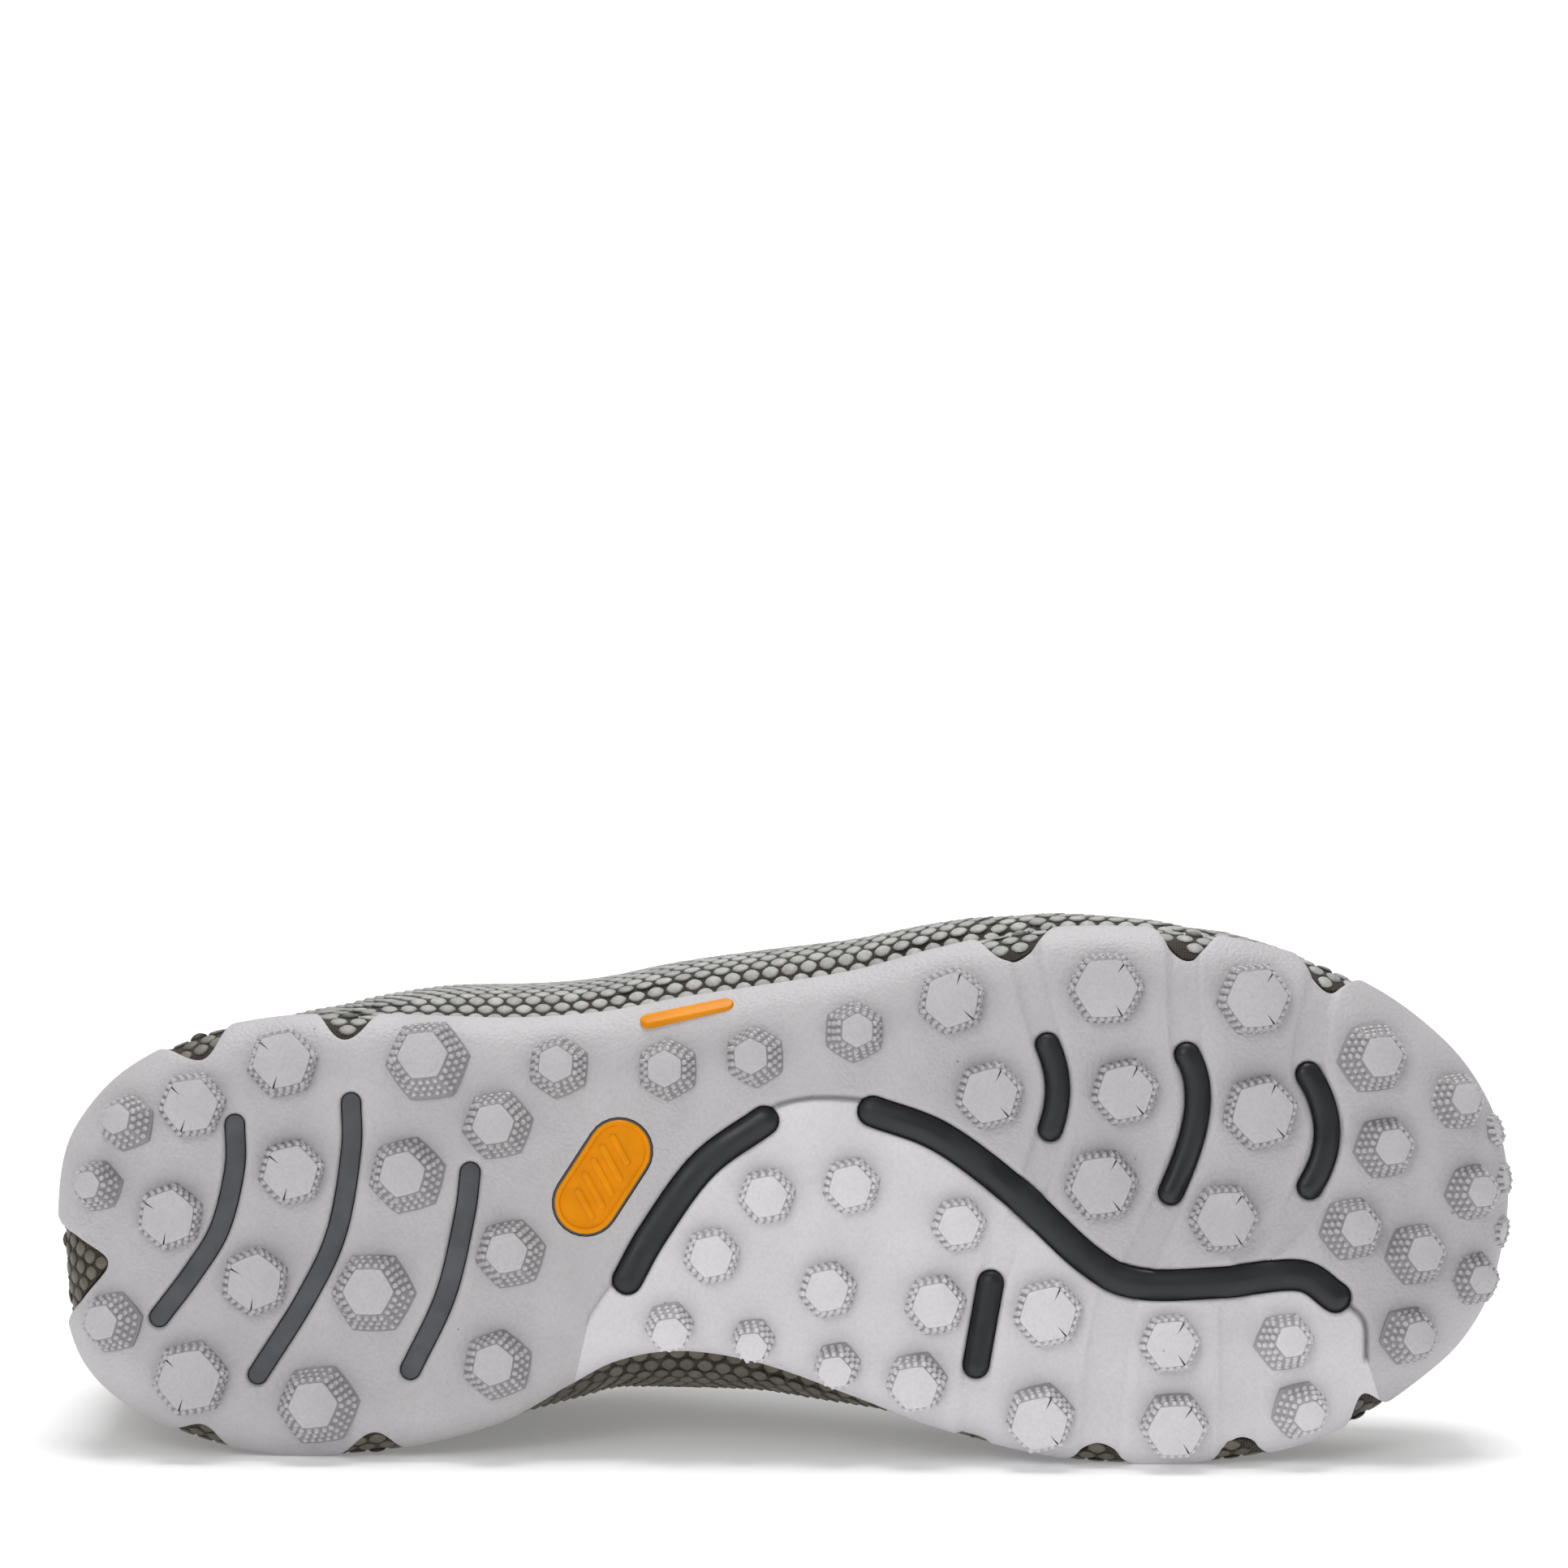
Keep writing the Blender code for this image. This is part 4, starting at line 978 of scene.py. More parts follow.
@functools.cache
def pebble_group() -> NodeTree:
    """Moulded pebble grain: a height from small rounded grains and a softer swell.

    Returns:
        The group.
    """
    inputs = {"Place": (VECTOR, None), "Pitch": (FLOAT, 0.0006), "Swell": (FLOAT, 0.4)}
    board, given, result, scale = new_group("pebble grain", inputs, {"Height": FLOAT, "Mask": FLOAT})
    grains = board.add(
        "ShaderNodeTexVoronoi", {"Vector": given["Place"], "Scale": scale}, feature="SMOOTH_F1"
    )
    broad = board.math("MULTIPLY", scale, 0.31)
    swell = board.add("ShaderNodeTexNoise", {"Vector": given["Place"], "Scale": broad, "Detail": 3.0})
    height = board.math("SUBTRACT", 1.0, grains.outputs["Distance"])
    lift = board.math("MULTIPLY", swell.outputs["Fac"], given["Swell"])
    mask = board.ramp(grains.outputs["Distance"], 0.2, 0.75)
    board.fill(result, {"Height": board.math("ADD", height, lift), "Mask": mask})
    return board.tree


@functools.cache
def drift_group() -> NodeTree:
    """Slow drift of a colour, lighter and darker, as moulded or dyed goods have.

    Returns:
        The group.
    """
    inputs = {"Colour": (COLOUR, (0.5, 0.5, 0.5, 1.0)), "Place": (VECTOR, None)}
    inputs |= {"Pitch": (FLOAT, 0.02), "Strength": (FLOAT, 0.1)}
    board, given, result, scale = new_group("colour drift", inputs, {"Colour": COLOUR, "Mask": FLOAT})
    noise = board.add("ShaderNodeTexNoise", {"Vector": given["Place"], "Scale": scale, "Detail": 5.0})
    mask = board.ramp(noise.outputs["Fac"], 0.3, 0.7)
    gain = board.math("MULTIPLY_ADD", board.math("SUBTRACT", mask, 0.5), given["Strength"], 1.0)
    colour = board.mix(1.0, given["Colour"], board.grey(gain), "MULTIPLY")
    board.fill(result, {"Colour": colour, "Mask": mask})
    return board.tree


@functools.cache
def speck_group() -> NodeTree:
    """Rare small specks, as grit leaves them.

    Returns:
        The group.
    """
    inputs = {"Place": (VECTOR, None), "Pitch": (FLOAT, 0.006), "Size": (FLOAT, 0.05)}
    board, given, result, scale = new_group("specks", inputs, {"Mask": FLOAT})
    cells = board.add("ShaderNodeTexVoronoi", {"Vector": given["Place"], "Scale": scale})
    chance = board.add("ShaderNodeSeparateColor", {0: cells.outputs["Color"]})
    rare = board.math("GREATER_THAN", chance.outputs[0], 0.82)
    near = board.math("LESS_THAN", cells.outputs["Distance"], given["Size"])
    board.fill(result, {"Mask": board.math("MULTIPLY", rare, near)})
    return board.tree


@functools.cache
def weave_group() -> NodeTree:
    """Fine cloth: two crossing sets of threads.

    Returns:
        The group.
    """
    inputs = {"Place": (VECTOR, None), "Pitch": (FLOAT, 0.0008)}
    board, given, result, scale = new_group("fine weave", inputs, {"Height": FLOAT, "Mask": FLOAT})
    rate = board.math("MULTIPLY", scale, 2 * math.pi)
    split = board.add("ShaderNodeSeparateXYZ", {0: given["Place"]}).outputs
    waves = []
    for sign in (1.0, -1.0):
        lean = board.math("MULTIPLY_ADD", split[1], sign, split[0])
        sheet = board.math("ADD", lean, board.math("MULTIPLY", split[2], sign * 0.7))
        waves.append(board.math("SINE", board.math("MULTIPLY", sheet, rate)))
    height = board.math("MULTIPLY_ADD", board.math("MULTIPLY", *waves), 0.5, 0.5)
    board.fill(result, {"Height": height, "Mask": board.ramp(height, 0.15, 0.6)})
    return board.tree


@dataclass(frozen=True)
class Finish:
    """What every finish has: a name, a colour and how it gets a material."""

    name: str
    colour: tuple

    def material(self) -> bpy.types.Material:
        """Builds the material.

        Returns:
            The material.
        """
        material = bpy.data.materials.new(self.name)
        material.use_nodes = True
        board = Board(material.node_tree)
        place = board.add("ShaderNodeTexCoord").outputs["Object"]
        inputs, height, depth = self.surface(board, place)
        if height is not None:
            bump = board.add("ShaderNodeBump", {"Height": height, "Distance": depth, "Strength": 1.0})
            inputs |= {"Normal": bump.outputs[0]}
        board.fill(material.node_tree.nodes["Principled BSDF"], inputs)
        return material

    def surface(self, board: Board, place: Socket) -> tuple:
        """The shader's inputs, the height of its bump and what a height of 1 stands for."""
        raise NotImplementedError

    def tinted(self, board: Board, place: Socket, pitch: float, strength: float) -> bpy.types.Node:
        """The finish's colour with its slow drift."""
        colour = (*self.colour, 1.0)
        return board.effect(drift_group(), Place=place, Colour=colour, Pitch=pitch, Strength=strength)


@dataclass(frozen=True)
class RubberFinish(Finish):
    """Moulded rubber with a fine leather-like grain, darkened as painted shade where the mesh's shade
    attribute is set.
    """

    roughness: float = 0.5
    grain: float = 0.0007
    depth: float = 0.00016
    drift: float = 0.08
    grit: float = 0.5
    pit_share: float = 0.35
    pit_tone: float = 0.82
    shade_tone: float = 0.45
    grit_colour: tuple = (0.09, 0.08, 0.07, 1.0)

    def toned(self, tone: float) -> tuple:
        """The rubber's colour made darker."""
        return (*[value * tone for value in self.colour], 1.0)

    def surface(self, board: Board, place: Socket) -> tuple:
        """Gives the rubber's inputs and bump.

        Args:
            board: The material's board.
            place: Socket of the place on the object.

        Returns:
            The shader's inputs, the bump's height and its depth.
        """
        tint = self.tinted(board, place, 0.012, self.drift)
        pebble = board.effect(pebble_group(), Place=place, Pitch=self.grain)
        speck = board.effect(speck_group(), Place=place)
        pits = board.math("MULTIPLY", pebble.outputs["Mask"], self.pit_share)
        grained = board.mix(pits, tint.outputs["Colour"], self.toned(self.pit_tone))
        # The shade attribute darkens the colour: painted shade round lugs, in channels and lips and along
        # the seam.
        shaded = board.mix(board.attribute("shade"), grained, self.toned(self.shade_tone))
        grit = board.math("MULTIPLY", speck.outputs["Mask"], self.grit)
        dusted = board.mix(grit, shaded, self.grit_colour)
        rough = board.math("MULTIPLY_ADD", tint.outputs["Mask"], 0.12, self.roughness - 0.06)
        inputs = {"Base Color": dusted, "Roughness": rough, "Specular IOR Level": 0.4}
        return inputs, pebble.outputs["Height"], self.depth


@dataclass(frozen=True)
class FoamFinish(Finish):
    """Dark foam, either rubbed glossy or left with its cells open."""

    roughness: float
    depth: float
    coat: float = 0.0

    def surface(self, board: Board, place: Socket) -> tuple:
        """Gives the foam's inputs and bump.

        Args:
            board: The material's board.
            place: Socket of the place on the object.

        Returns:
            The shader's inputs, the bump's height and its depth.
        """
        tint = self.tinted(board, place, 0.008, 0.45)
        pebble = board.effect(pebble_group(), Place=place, Pitch=0.0004)
        rough = board.math("MULTIPLY_ADD", tint.outputs["Mask"], 0.2, self.roughness - 0.1)
        inputs = {"Base Color": tint.outputs["Colour"], "Roughness": rough}
        inputs |= {"Coat Weight": self.coat, "Coat Roughness": 0.35}
        return inputs, pebble.outputs["Height"], self.depth


@dataclass(frozen=True)
class ClothFinish(Finish):
    """Woven or knitted cloth with a fine thread, and flecks of a second yarn."""

    fleck: tuple
    pitch: float = 0.0009
    depth: float = 0.00012
    roughness: float = 0.85
    sheen: float = 0.2

    def surface(self, board: Board, place: Socket) -> tuple:
        """Gives the cloth's inputs and bump.

        Args:
            board: The material's board.
            place: Socket of the place on the object.

        Returns:
            The shader's inputs, the bump's height and its depth.
        """
        weave = board.effect(weave_group(), Place=place, Pitch=self.pitch)
        colour = (*self.fleck, 1.0)
        fleck = board.effect(drift_group(), Place=place, Colour=colour, Pitch=0.0016, Strength=0.5)
        threads = board.mix(weave.outputs["Mask"], (*self.colour, 1.0), fleck.outputs["Colour"])
        inputs = {"Base Color": threads, "Roughness": self.roughness, "Specular IOR Level": 0.2}
        inputs |= {"Sheen Weight": self.sheen, "Sheen Roughness": 0.5}
        return inputs, weave.outputs["Height"], self.depth


@dataclass(frozen=True)
class ScaleFinish(Finish):
    """The raised cells of the scale mesh, olive at the heel and greyer forward; the olive is also painted
    as shade on cells low on the lying shoe, near the floor.
    """

    heel: tuple
    roughness: float = 0.5

    def surface(self, board: Board, place: Socket) -> tuple:
        """Gives the cells' inputs and bump.

        Args:
            board: The material's board.
            place: Socket of the place on the object.

        Returns:
            The shader's inputs, the bump's height and its depth.
        """
        split = board.add("ShaderNodeSeparateXYZ", {0: place}).outputs
        # The heel ramp is the cells' own colour; the height ramp paints the olive as shade on cells near
        # the floor.
        along, up = board.ramp(split[0], -0.135, -0.075), board.ramp(split[2], 0.018, 0.05)
        front = board.math("MULTIPLY", along, up)
        region = board.mix(front, (*self.heel, 1.0), (*self.colour, 1.0))
        tone = board.math("MULTIPLY_ADD", board.attribute("cell"), 0.34, 0.8)
        varied = board.mix(1.0, region, board.grey(tone), "MULTIPLY")
        tint = board.effect(drift_group(), Colour=varied, Place=place, Pitch=0.001, Strength=0.25)
        weave = board.effect(weave_group(), Place=place, Pitch=0.0005)
        inputs = {"Base Color": tint.outputs["Colour"], "Roughness": self.roughness}
        return inputs, weave.outputs["Height"], 0.00003


@dataclass(frozen=True)
class InlayFinish(Finish):
    """Smooth moulded plastic of one colour."""

    roughness: float = 0.35

    def surface(self, board: Board, place: Socket) -> tuple:
        """Gives the plastic's inputs and bump.

        Args:
            board: The material's board.
            place: Socket of the place on the object.

        Returns:
            The shader's inputs, the bump's height and its depth.
        """
        tint = self.tinted(board, place, 0.005, 0.12)
        pebble = board.effect(pebble_group(), Place=place, Pitch=0.0005)
        inputs = {"Base Color": tint.outputs["Colour"], "Roughness": self.roughness}
        inputs |= {"Specular IOR Level": 0.15}
        return inputs, pebble.outputs["Height"], 0.00002


@dataclass(frozen=True)
class FloorFinish(Finish):
    """Pale floor that glows a little, and more far away."""

    glow: float
    far_glow: float
    span: tuple

    def surface(self, board: Board, place: Socket) -> tuple:
        """Gives the floor's inputs and a level height.

        Args:
            board: The material's board.
            place: Socket of the place on the object.

        Returns:
            The shader's inputs, the bump's height and its depth.
        """
        tint = self.tinted(board, place, 0.5, 0.01)
        away = board.add("ShaderNodeVectorMath", {0: place}, operation="LENGTH").outputs["Value"]
        glow = board.math("MULTIPLY_ADD", board.ramp(away, *self.span), self.far_glow, self.glow)
        inputs = {"Base Color": tint.outputs["Colour"], "Roughness": 0.9, "Specular IOR Level": 0.1}
        inputs |= {"Emission Color": (1.0, 1.0, 1.0, 1.0), "Emission Strength": glow}
        return inputs, None, 0.0


GREY_RUBBER = RubberFinish("grey_rubber", (0.515, 0.498, 0.512))
WHITE_RUBBER = RubberFinish(
    "white_rubber", (0.70, 0.68, 0.705), roughness=0.45, depth=0.00008, drift=0.04, grit=0.35
)
GLOSSY_FOAM = FoamFinish("glossy_foam", (0.007, 0.009, 0.011), 0.42, 0.000015, coat=0.05)
OPEN_FOAM = FoamFinish("open_foam", (0.082, 0.086, 0.096), 0.75, 0.00005)
BASE_CLOTH = ClothFinish("mesh_ground", (0.012, 0.009, 0.007), (0.05, 0.038, 0.028), pitch=0.0011)
COLLAR_KNIT = ClothFinish(
    "collar_knit", (0.17, 0.165, 0.135), (0.34, 0.33, 0.28), pitch=0.0012, depth=0.00015
)
LINING_CLOTH = ClothFinish("lining_cloth", (0.008, 0.008, 0.009), (0.025, 0.025, 0.028), pitch=0.0014)
TONGUE_CLOTH = ClothFinish(
    "tongue_cloth", (0.010, 0.010, 0.011), (0.04, 0.04, 0.042), pitch=0.0016, depth=0.0002
)
STAY_CLOTH = ClothFinish(
    "stay_cloth", (0.012, 0.012, 0.013), (0.03, 0.03, 0.032), pitch=0.0006, roughness=0.6
)
LACE_BRAID = ClothFinish("lace_braid", (0.09, 0.09, 0.075), (0.27, 0.27, 0.22), pitch=0.0016, depth=0.00025)
INSOLE_CLOTH = ClothFinish("insole_cloth", (0.02, 0.02, 0.022), (0.06, 0.06, 0.062), pitch=0.0012)
# The heel colour also serves as painted shade on cells low on the lying shoe.
SCALE_CELLS = ScaleFinish("scale_cells", (0.41, 0.415, 0.395), heel=(0.125, 0.112, 0.085))
ORANGE_INLAY = InlayFinish("orange_inlay", (0.79, 0.275, 0.0), 0.32)
DARK_INLAY = InlayFinish("dark_inlay", (0.10, 0.10, 0.105), 0.5)
EYELET_METAL = InlayFinish("eyelet_metal", (0.02, 0.02, 0.022), 0.3)


class Tread:
    """The underside's surface: where it lies and what is pressed into it."""

    def __init__(self, last: Last, outline: Array) -> None:
        """Takes the last and a fine outline of the sole.

        Args:
            last: The shoe's form.
            outline: Points of the outline.
        """
        self.last = last
        self.tree = plan_tree(outline)

    def height(self, x: float, y: float) -> float:
        """Height of the rubber's underside at a place.

        Args:
            x: Length from the heel.
            y: Place across.

        Returns:
            The height.
        """
        curl = self.last.curl
        near = min(self.tree.find((x, y, 0.0))[2], curl)
        rise = curl - math.sqrt(max(curl**2 - (curl - near) ** 2, 0.0))
        return float(self.last.ground(x)) + self.last.lug_height + rise

    def frame(self, x: float, y: float, steepest: float = 0.42, forced: tuple | None = None) -> Matrix:
        """Gives a frame on the underside whose Z points out of it, X forward and Y lateral.

        Args:
            x: Length from the heel.
            y: Place across.
            steepest: The steepest slope that it follows.
            forced: The way in which it then leans, whatever the slope.

        Returns:
            The frame.
        """
        step = 0.003
        rise_x = (self.height(x + step, y) - self.height(x - step, y)) / (2 * step)
        rise_y = (self.height(x, y + step) - self.height(x, y - step)) / (2 * step)
        share = min(steepest / max(math.hypot(rise_x, rise_y), 1e-6), 1.0)
        slope = Vector((rise_x * share, rise_y * share))
        if forced is not None:
            slope = Vector(forced) * steepest
        out = Vector((*slope, -1.0)).normalized()
        side = Vector((1.0, 0.0, 0.0))
        side = (side - out * side.dot(out)).normalized()
        axes = Matrix((side, out.cross(side), out)).transposed()
        return Matrix.Translation((x, y, self.height(x, y))) @ axes.to_4x4()


def stadium_ring(line: Array, half: float, ends: int = 10) -> Array:
    """Draws the round-ended outline of a band along a line.

    Args:
        line: The band's centre line.
        half: Half of its width.
        ends: Steps round each end.

    Returns:
        The outline's points.
    """
    along = ways(line)
    across = np.stack([-along[:, 1], along[:, 0]], axis=1) * half
    turns = np.linspace(0, -np.pi, ends + 2)[1:-1]

    def end(centre: Array, arm: Array) -> Array:
        """Turns an arm round one end.

        Args:
            centre: The end's middle.
            arm: The way from there to the outline.

        Returns:
            The points round it.
        """
        turned = [
            (math.cos(a) * arm[0] - math.sin(a) * arm[1], math.sin(a) * arm[0] + math.cos(a) * arm[1])
            for a in turns
        ]
        return centre + np.array(turned)

    far, near = end(line[-1], across[-1]), end(line[0], -across[0])
    return np.vstack([line + across, far, (line - across)[::-1], near])


@dataclass
class Outsole:
    """The two rubbers of the sole, with their slots, seam, channels and curled, notched edge."""

    last: Last
    rubber: float = 0.0025
    lip: float = 0.0011
    seam_lip: float = 0.0008
    seam_gap: float = 0.0003
    lug_radius: float = 0.0075
    # Painted shade: halos round the lugs, a dark line along the seam, and darker channels and lips.
    halo: float = 0.11
    halo_reach: float = 0.0032
    seam_dark: float = 0.85
    seam_reach: float = 0.0006
    halo_shift: float = -0.0012
    rim_lip: float = 0.0007
    spread: float = 0.0014
    lateral_spread: float = 0.0006
    closed_notch: float = 0.003
    grid: float = 0.0017
    soft: float = 0.0008
    line_step: float = 0.0009
    # Painted shade in channels and slot lips, growing with their depth.
    relief_dark: float = 45.0
    stations: int = 300

    def __post_init__(self) -> None:
        """Places the stations, with more of them where the seam crosses the edge."""
        shares = np.linspace(0.0, 1.0, self.stations + 1)
        rough = Girth(self.last, shares)
        extra = []
        for along in SEAM_EDGES:
            near = shares[self.mirrored(rough, rough.station(along, Side.MEDIAL))]
            extra += [near + offset for offset in (-0.0035, -0.002, -0.001, 0.0, 0.001, 0.002, 0.0035)]
        shares = np.unique(np.concatenate([shares, extra]).round(6))
        keep = np.concatenate([[True], np.diff(shares) > 0.0004])
        self.girth = Girth(self.last, shares[keep])
        self.tread = Tread(self.last, self.girth.base)
        self.slots = {name: (row[0], row[1], self.line(row[2])) for name, row in SLOTS.items()}
        self.channels = [(row[0], row[1], self.line(row[2])) for row in CHANNELS.values()]
        self.flat = self.girth.base + self.girth.inward * self.last.curl
        self.seam_stations = [self.girth.station(along, Side.MEDIAL) for along in SEAM_EDGES]
        self.seam = self.seam_line()

    @staticmethod
    def mirrored(girth: Girth, station: int) -> int:
        """Number of the share that a medial station has."""
        return girth.count - station if station > girth.half else station

    def line(self, points: tuple) -> Array:
        """A smooth, evenly spaced line through shares, an even bend where there are three.

        Args:
            points: Shares of length and ball width.

        Returns:
            The line's points.
        """
        corners = self.last.sized(points)
        if len(corners) != 3:
            return evenly(catmull_rom(corners, 12), self.line_step)
        t = np.linspace(0.0, 1.0, 40)[:, None]
        first, middle, final = corners
        bend = 2 * middle - 0.5 * (first + final)
        return evenly((1 - t) ** 2 * first + 2 * t * (1 - t) * bend + t**2 * final, self.line_step)

    def seam_line(self) -> Array:
        """The seam on the flat of the sole, from one edge to the other.

        Returns:
            The seam's points.
        """
        start, end = (self.flat[k] for k in self.seam_stations)
        route = [*SEAM_BEFORE, *SLOTS["shank"][2], *SEAM_BETWEEN, *SLOTS["ball"][2], *SEAM_AFTER]
        corners = np.vstack([start, self.last.sized(tuple(route)), end])
        return evenly(catmull_rom(corners, 12), self.line_step)

    def white_region(self) -> Array:
        """A polygon round the white insert, past the sole's edge.

        Returns:
            The polygon's corners.
        """
        first, last = self.seam_stations
        reach = self.flat[[first, last]] - self.girth.inward[[first, last]] * 0.03
        return np.vstack([reach[0], self.seam, reach[1]])

    def badge_ring(self) -> Array:
        """The badge's outline from below.

        Returns:
            The outline's points.
        """
        badge = Badge(self.last)
        place = badge.frame(self.tread)
        return np.array([tuple(place @ Vector((x, y, 0.0)))[:2] for x, y in badge.ring(0.0)])

    def relief(self, points: Array) -> Array:
        """How far the underside is pressed into the shoe.

        Args:
            points: Places seen from below.

        Returns:
            One depth a place.
        """
        depth = np.zeros(len(points))
        for width, most, line in self.channels:
            away = distance_to(line, points) - width / 2
            depth = np.maximum(depth, most * (1 - eased((away + self.soft) / (2 * self.soft))))
        lips = [(distance_to(line, points) - width / 2, self.lip) for width, _, line in self.slots.values()]
        lips.append((distance_to(self.seam, points) - self.seam_gap, self.seam_lip))
        for away, radius in lips:
            near = np.clip(1 - away / radius, 0.0, 1.0)
            depth += radius * (1 - np.sqrt(1 - near**2))
        return depth

    def feature_points(self) -> tuple:
        """Points and fixed edges that the flat's triangles have to follow.

        Returns:
            The fixed points and edges, and loose points close to and farther from them.
        """
        points = [self.flat]
        edges = [(k, (k + 1) % len(self.flat)) for k in range(len(self.flat))]

        def fix(ring: Array, closed: bool) -> None:
            """Adds a fixed line.

            Args:
                ring: The line's points.
                closed: Whether it is a ring.
            """
            start = sum(len(group) for group in points)
            points.append(ring)
            count = len(ring)
            last = count if closed else count - 1
            edges.extend((start + k, start + (k + 1) % count) for k in range(last))

        for width, _, line in self.slots.values():
            fix(stadium_ring(line, width / 2), True)
        fix(self.badge_ring(), True)
        fix(self.seam[1:-1], False)
        first, last = self.seam_stations
        edges.append((first, sum(len(group) for group in points[:-1])))
        edges.append((sum(len(group) for group in points) - 1, last))
        loose = []
        for width, _, line in self.slots.values():
            loose += [stadium_ring(line, width / 2 + self.lip * share) for share in (0.12, 0.35, 0.65, 1.0)]
        for share in (0.15, 0.5, 1.0):
            for side in (-1, 1):
                loose.append(self.beside(self.seam, side * (self.seam_gap + self.seam_lip * share)))
        broad = []
        for width, _, line in self.channels:
            for offset in (-self.soft, -self.soft / 3, self.soft / 3, self.soft):
                for side in (-1, 1):
                    broad.append(self.beside(line, side * (width / 2 + offset)))
        return np.vstack(points), edges, np.vstack(loose), np.vstack(broad)

    @staticmethod
    def beside(line: Array, offset: float) -> Array:
        """A line beside another.

        Args:
            line: The line's points.
            offset: How far beside it.

        Returns:
            The other line's points.
        """
        along = ways(line)
        return line + np.stack([-along[:, 1], along[:, 0]], axis=1) * offset

    def flat_triangles(self) -> tuple:
        """Fills the flat of the sole with triangles.

        Returns:
            The places and the triangles, without those in slots and the badge's pocket.
        """
        points, edges, loose, broad = self.feature_points()
        low, high = self.flat.min(axis=0), self.flat.max(axis=0)
        columns = np.arange(low[0], high[0], self.grid)
        rows = np.arange(low[1], high[1], self.grid * 0.87)
        field = np.array([(x + self.grid / 2 * (n % 2), y) for n, y in enumerate(rows) for x in columns])
        for group, spacing in ((loose, 0.00018), (broad, 0.0003), (field, self.grid * 0.55)):
            group = group[inside(self.flat, group)]
            tree = plan_tree(points)
            free = [point for point in group if tree.find((point[0], point[1], 0.0))[2] > spacing]
            points = np.vstack([points, np.array(free)])
        made = delaunay_2d_cdt([Vector(point) for point in points], edges, [], 1, 1e-7)
        places = np.array([tuple(point) for point in made[0]])
        faces = np.array(made[2])
        centres = places[faces].mean(axis=1)
        keep = inside(self.flat, centres) & ~inside(self.badge_ring(), centres)
        for width, _, line in self.slots.values():
            keep &= distance_to(line, centres) > width / 2 - 2e-5
        return places, faces[keep]

    def skins(self) -> list:
        """Builds both rubbers.

        Returns:
            The standing shapes of the grey rubber and the white insert.
        """
        places, faces = self.flat_triangles()
        floor = self.last.ground(places[:, 0]) + self.last.lug_height
        outer = [np.column_stack([places, floor + self.relief(places)])]
        inner = [np.column_stack([places, floor + self.rubber])]
        white = inside(self.white_region(), places[faces].mean(axis=1))
        parts = [(faces[~white], 0), (faces[white], 1)]
        girth, last = self.girth, self.last
        lip = self.rim_lip / last.curl
        rows = [(share, 0.0, 0.0) for share in (0.0, 0.12, 0.25, 0.38, 0.5, 0.62, 0.74, 0.86, 1.0)]
        rows += [(1.0, 0.5 * lip, 0.07), (1.0, 0.85 * lip, 0.4), (1.0, lip, 1.0)]
        outward = unit(-girth.inward)
        start = len(places)
        lateral = np.clip(-girth.outward[:, 1], 0.0, 1.0)
        amount = self.lateral_spread * lateral + self.spread * girth.outward[:, 0] ** 2
        amount *= 1 - np.clip(girth.depth / self.closed_notch, 0.0, 1.0)
        spread = girth.outward * amount[:, None]
        for share, past, drop in rows:
            angle = (girth.rim - lip) * share + past
            unrolled = self.flat + outward * (last.curl * angle)[:, None]
            depth = self.relief(unrolled) + drop * self.rim_lip
            outer.append(girth.curl_ring(last.curl - depth, angle))
            inner.append(girth.curl_ring(np.full(girth.count, last.curl - self.rubber), angle))
            for ring in (outer[-1], inner[-1]):
                ring[:, :2] += spread * share**1.5
        first, final = self.seam_stations
        quads = ([], [])
        for row in range(len(rows) - 1):
            for k in range(girth.count):
                n = (k + 1) % girth.count
                low, high = start + row * girth.count, start + (row + 1) * girth.count
                quads[final <= k < first].append((low + k, low + n, high + n, high + k))
        parts = [[tuple(face) for face in triangles.tolist()] + quads[which] for triangles, which in parts]
        outer, inner = np.vstack(outer), np.vstack(inner)
        return [self.thick(outer, inner, part, self.flat_to_curl(places, start)) for part in parts]

    def flat_to_curl(self, places: Array, start: int) -> dict:
        """Which points of the curl's first ring are points of the flat too.

        Args:
            places: Points of the flat.
            start: Number of the ring's first point.

        Returns:
            Numbers of the flat's points by those of the ring's.
        """
        tree = plan_tree(places)
        found = (tree.find((point[0], point[1], 0.0)) for point in self.flat)
        return {start + k: hit[1] for k, hit in enumerate(found) if hit[2] < 1e-6}

    @staticmethod
    def thick(outer: Array, inner: Array, faces: list, same: dict) -> Shape:
        """Closes a skin to a solid.

        Args:
            outer: Points of the outer skin.
            inner: The point behind each of them.
            faces: The outer skin's faces.
            same: Point numbers that stand for others.

        Returns:
            The closed shape.
        """
        faces = [tuple(same.get(k, k) for k in face) for face in faces]
        count = len(outer)
        uses: dict = {}
        for face in faces:
            for a, b in zip(face, face[1:] + face[:1]):
                uses[frozenset((a, b))] = None if frozenset((a, b)) in uses else (a, b)
        walls = [(a, b, b + count, a + count) for a, b in filter(None, uses.values())]
        back = [tuple(k + count for k in face[::-1]) for face in faces]
        shape = Shape()
        used = sorted({k for face in faces for k in face})
        number = {k: n for n, k in enumerate(used)}
        number.update({k + count: n + len(used) for n, k in enumerate(used)})
        renumbered = [tuple(number[k] for k in face) for face in faces + back + walls]
        shape.add(np.vstack([outer[used], inner[used]]), renumbered)
        return shape

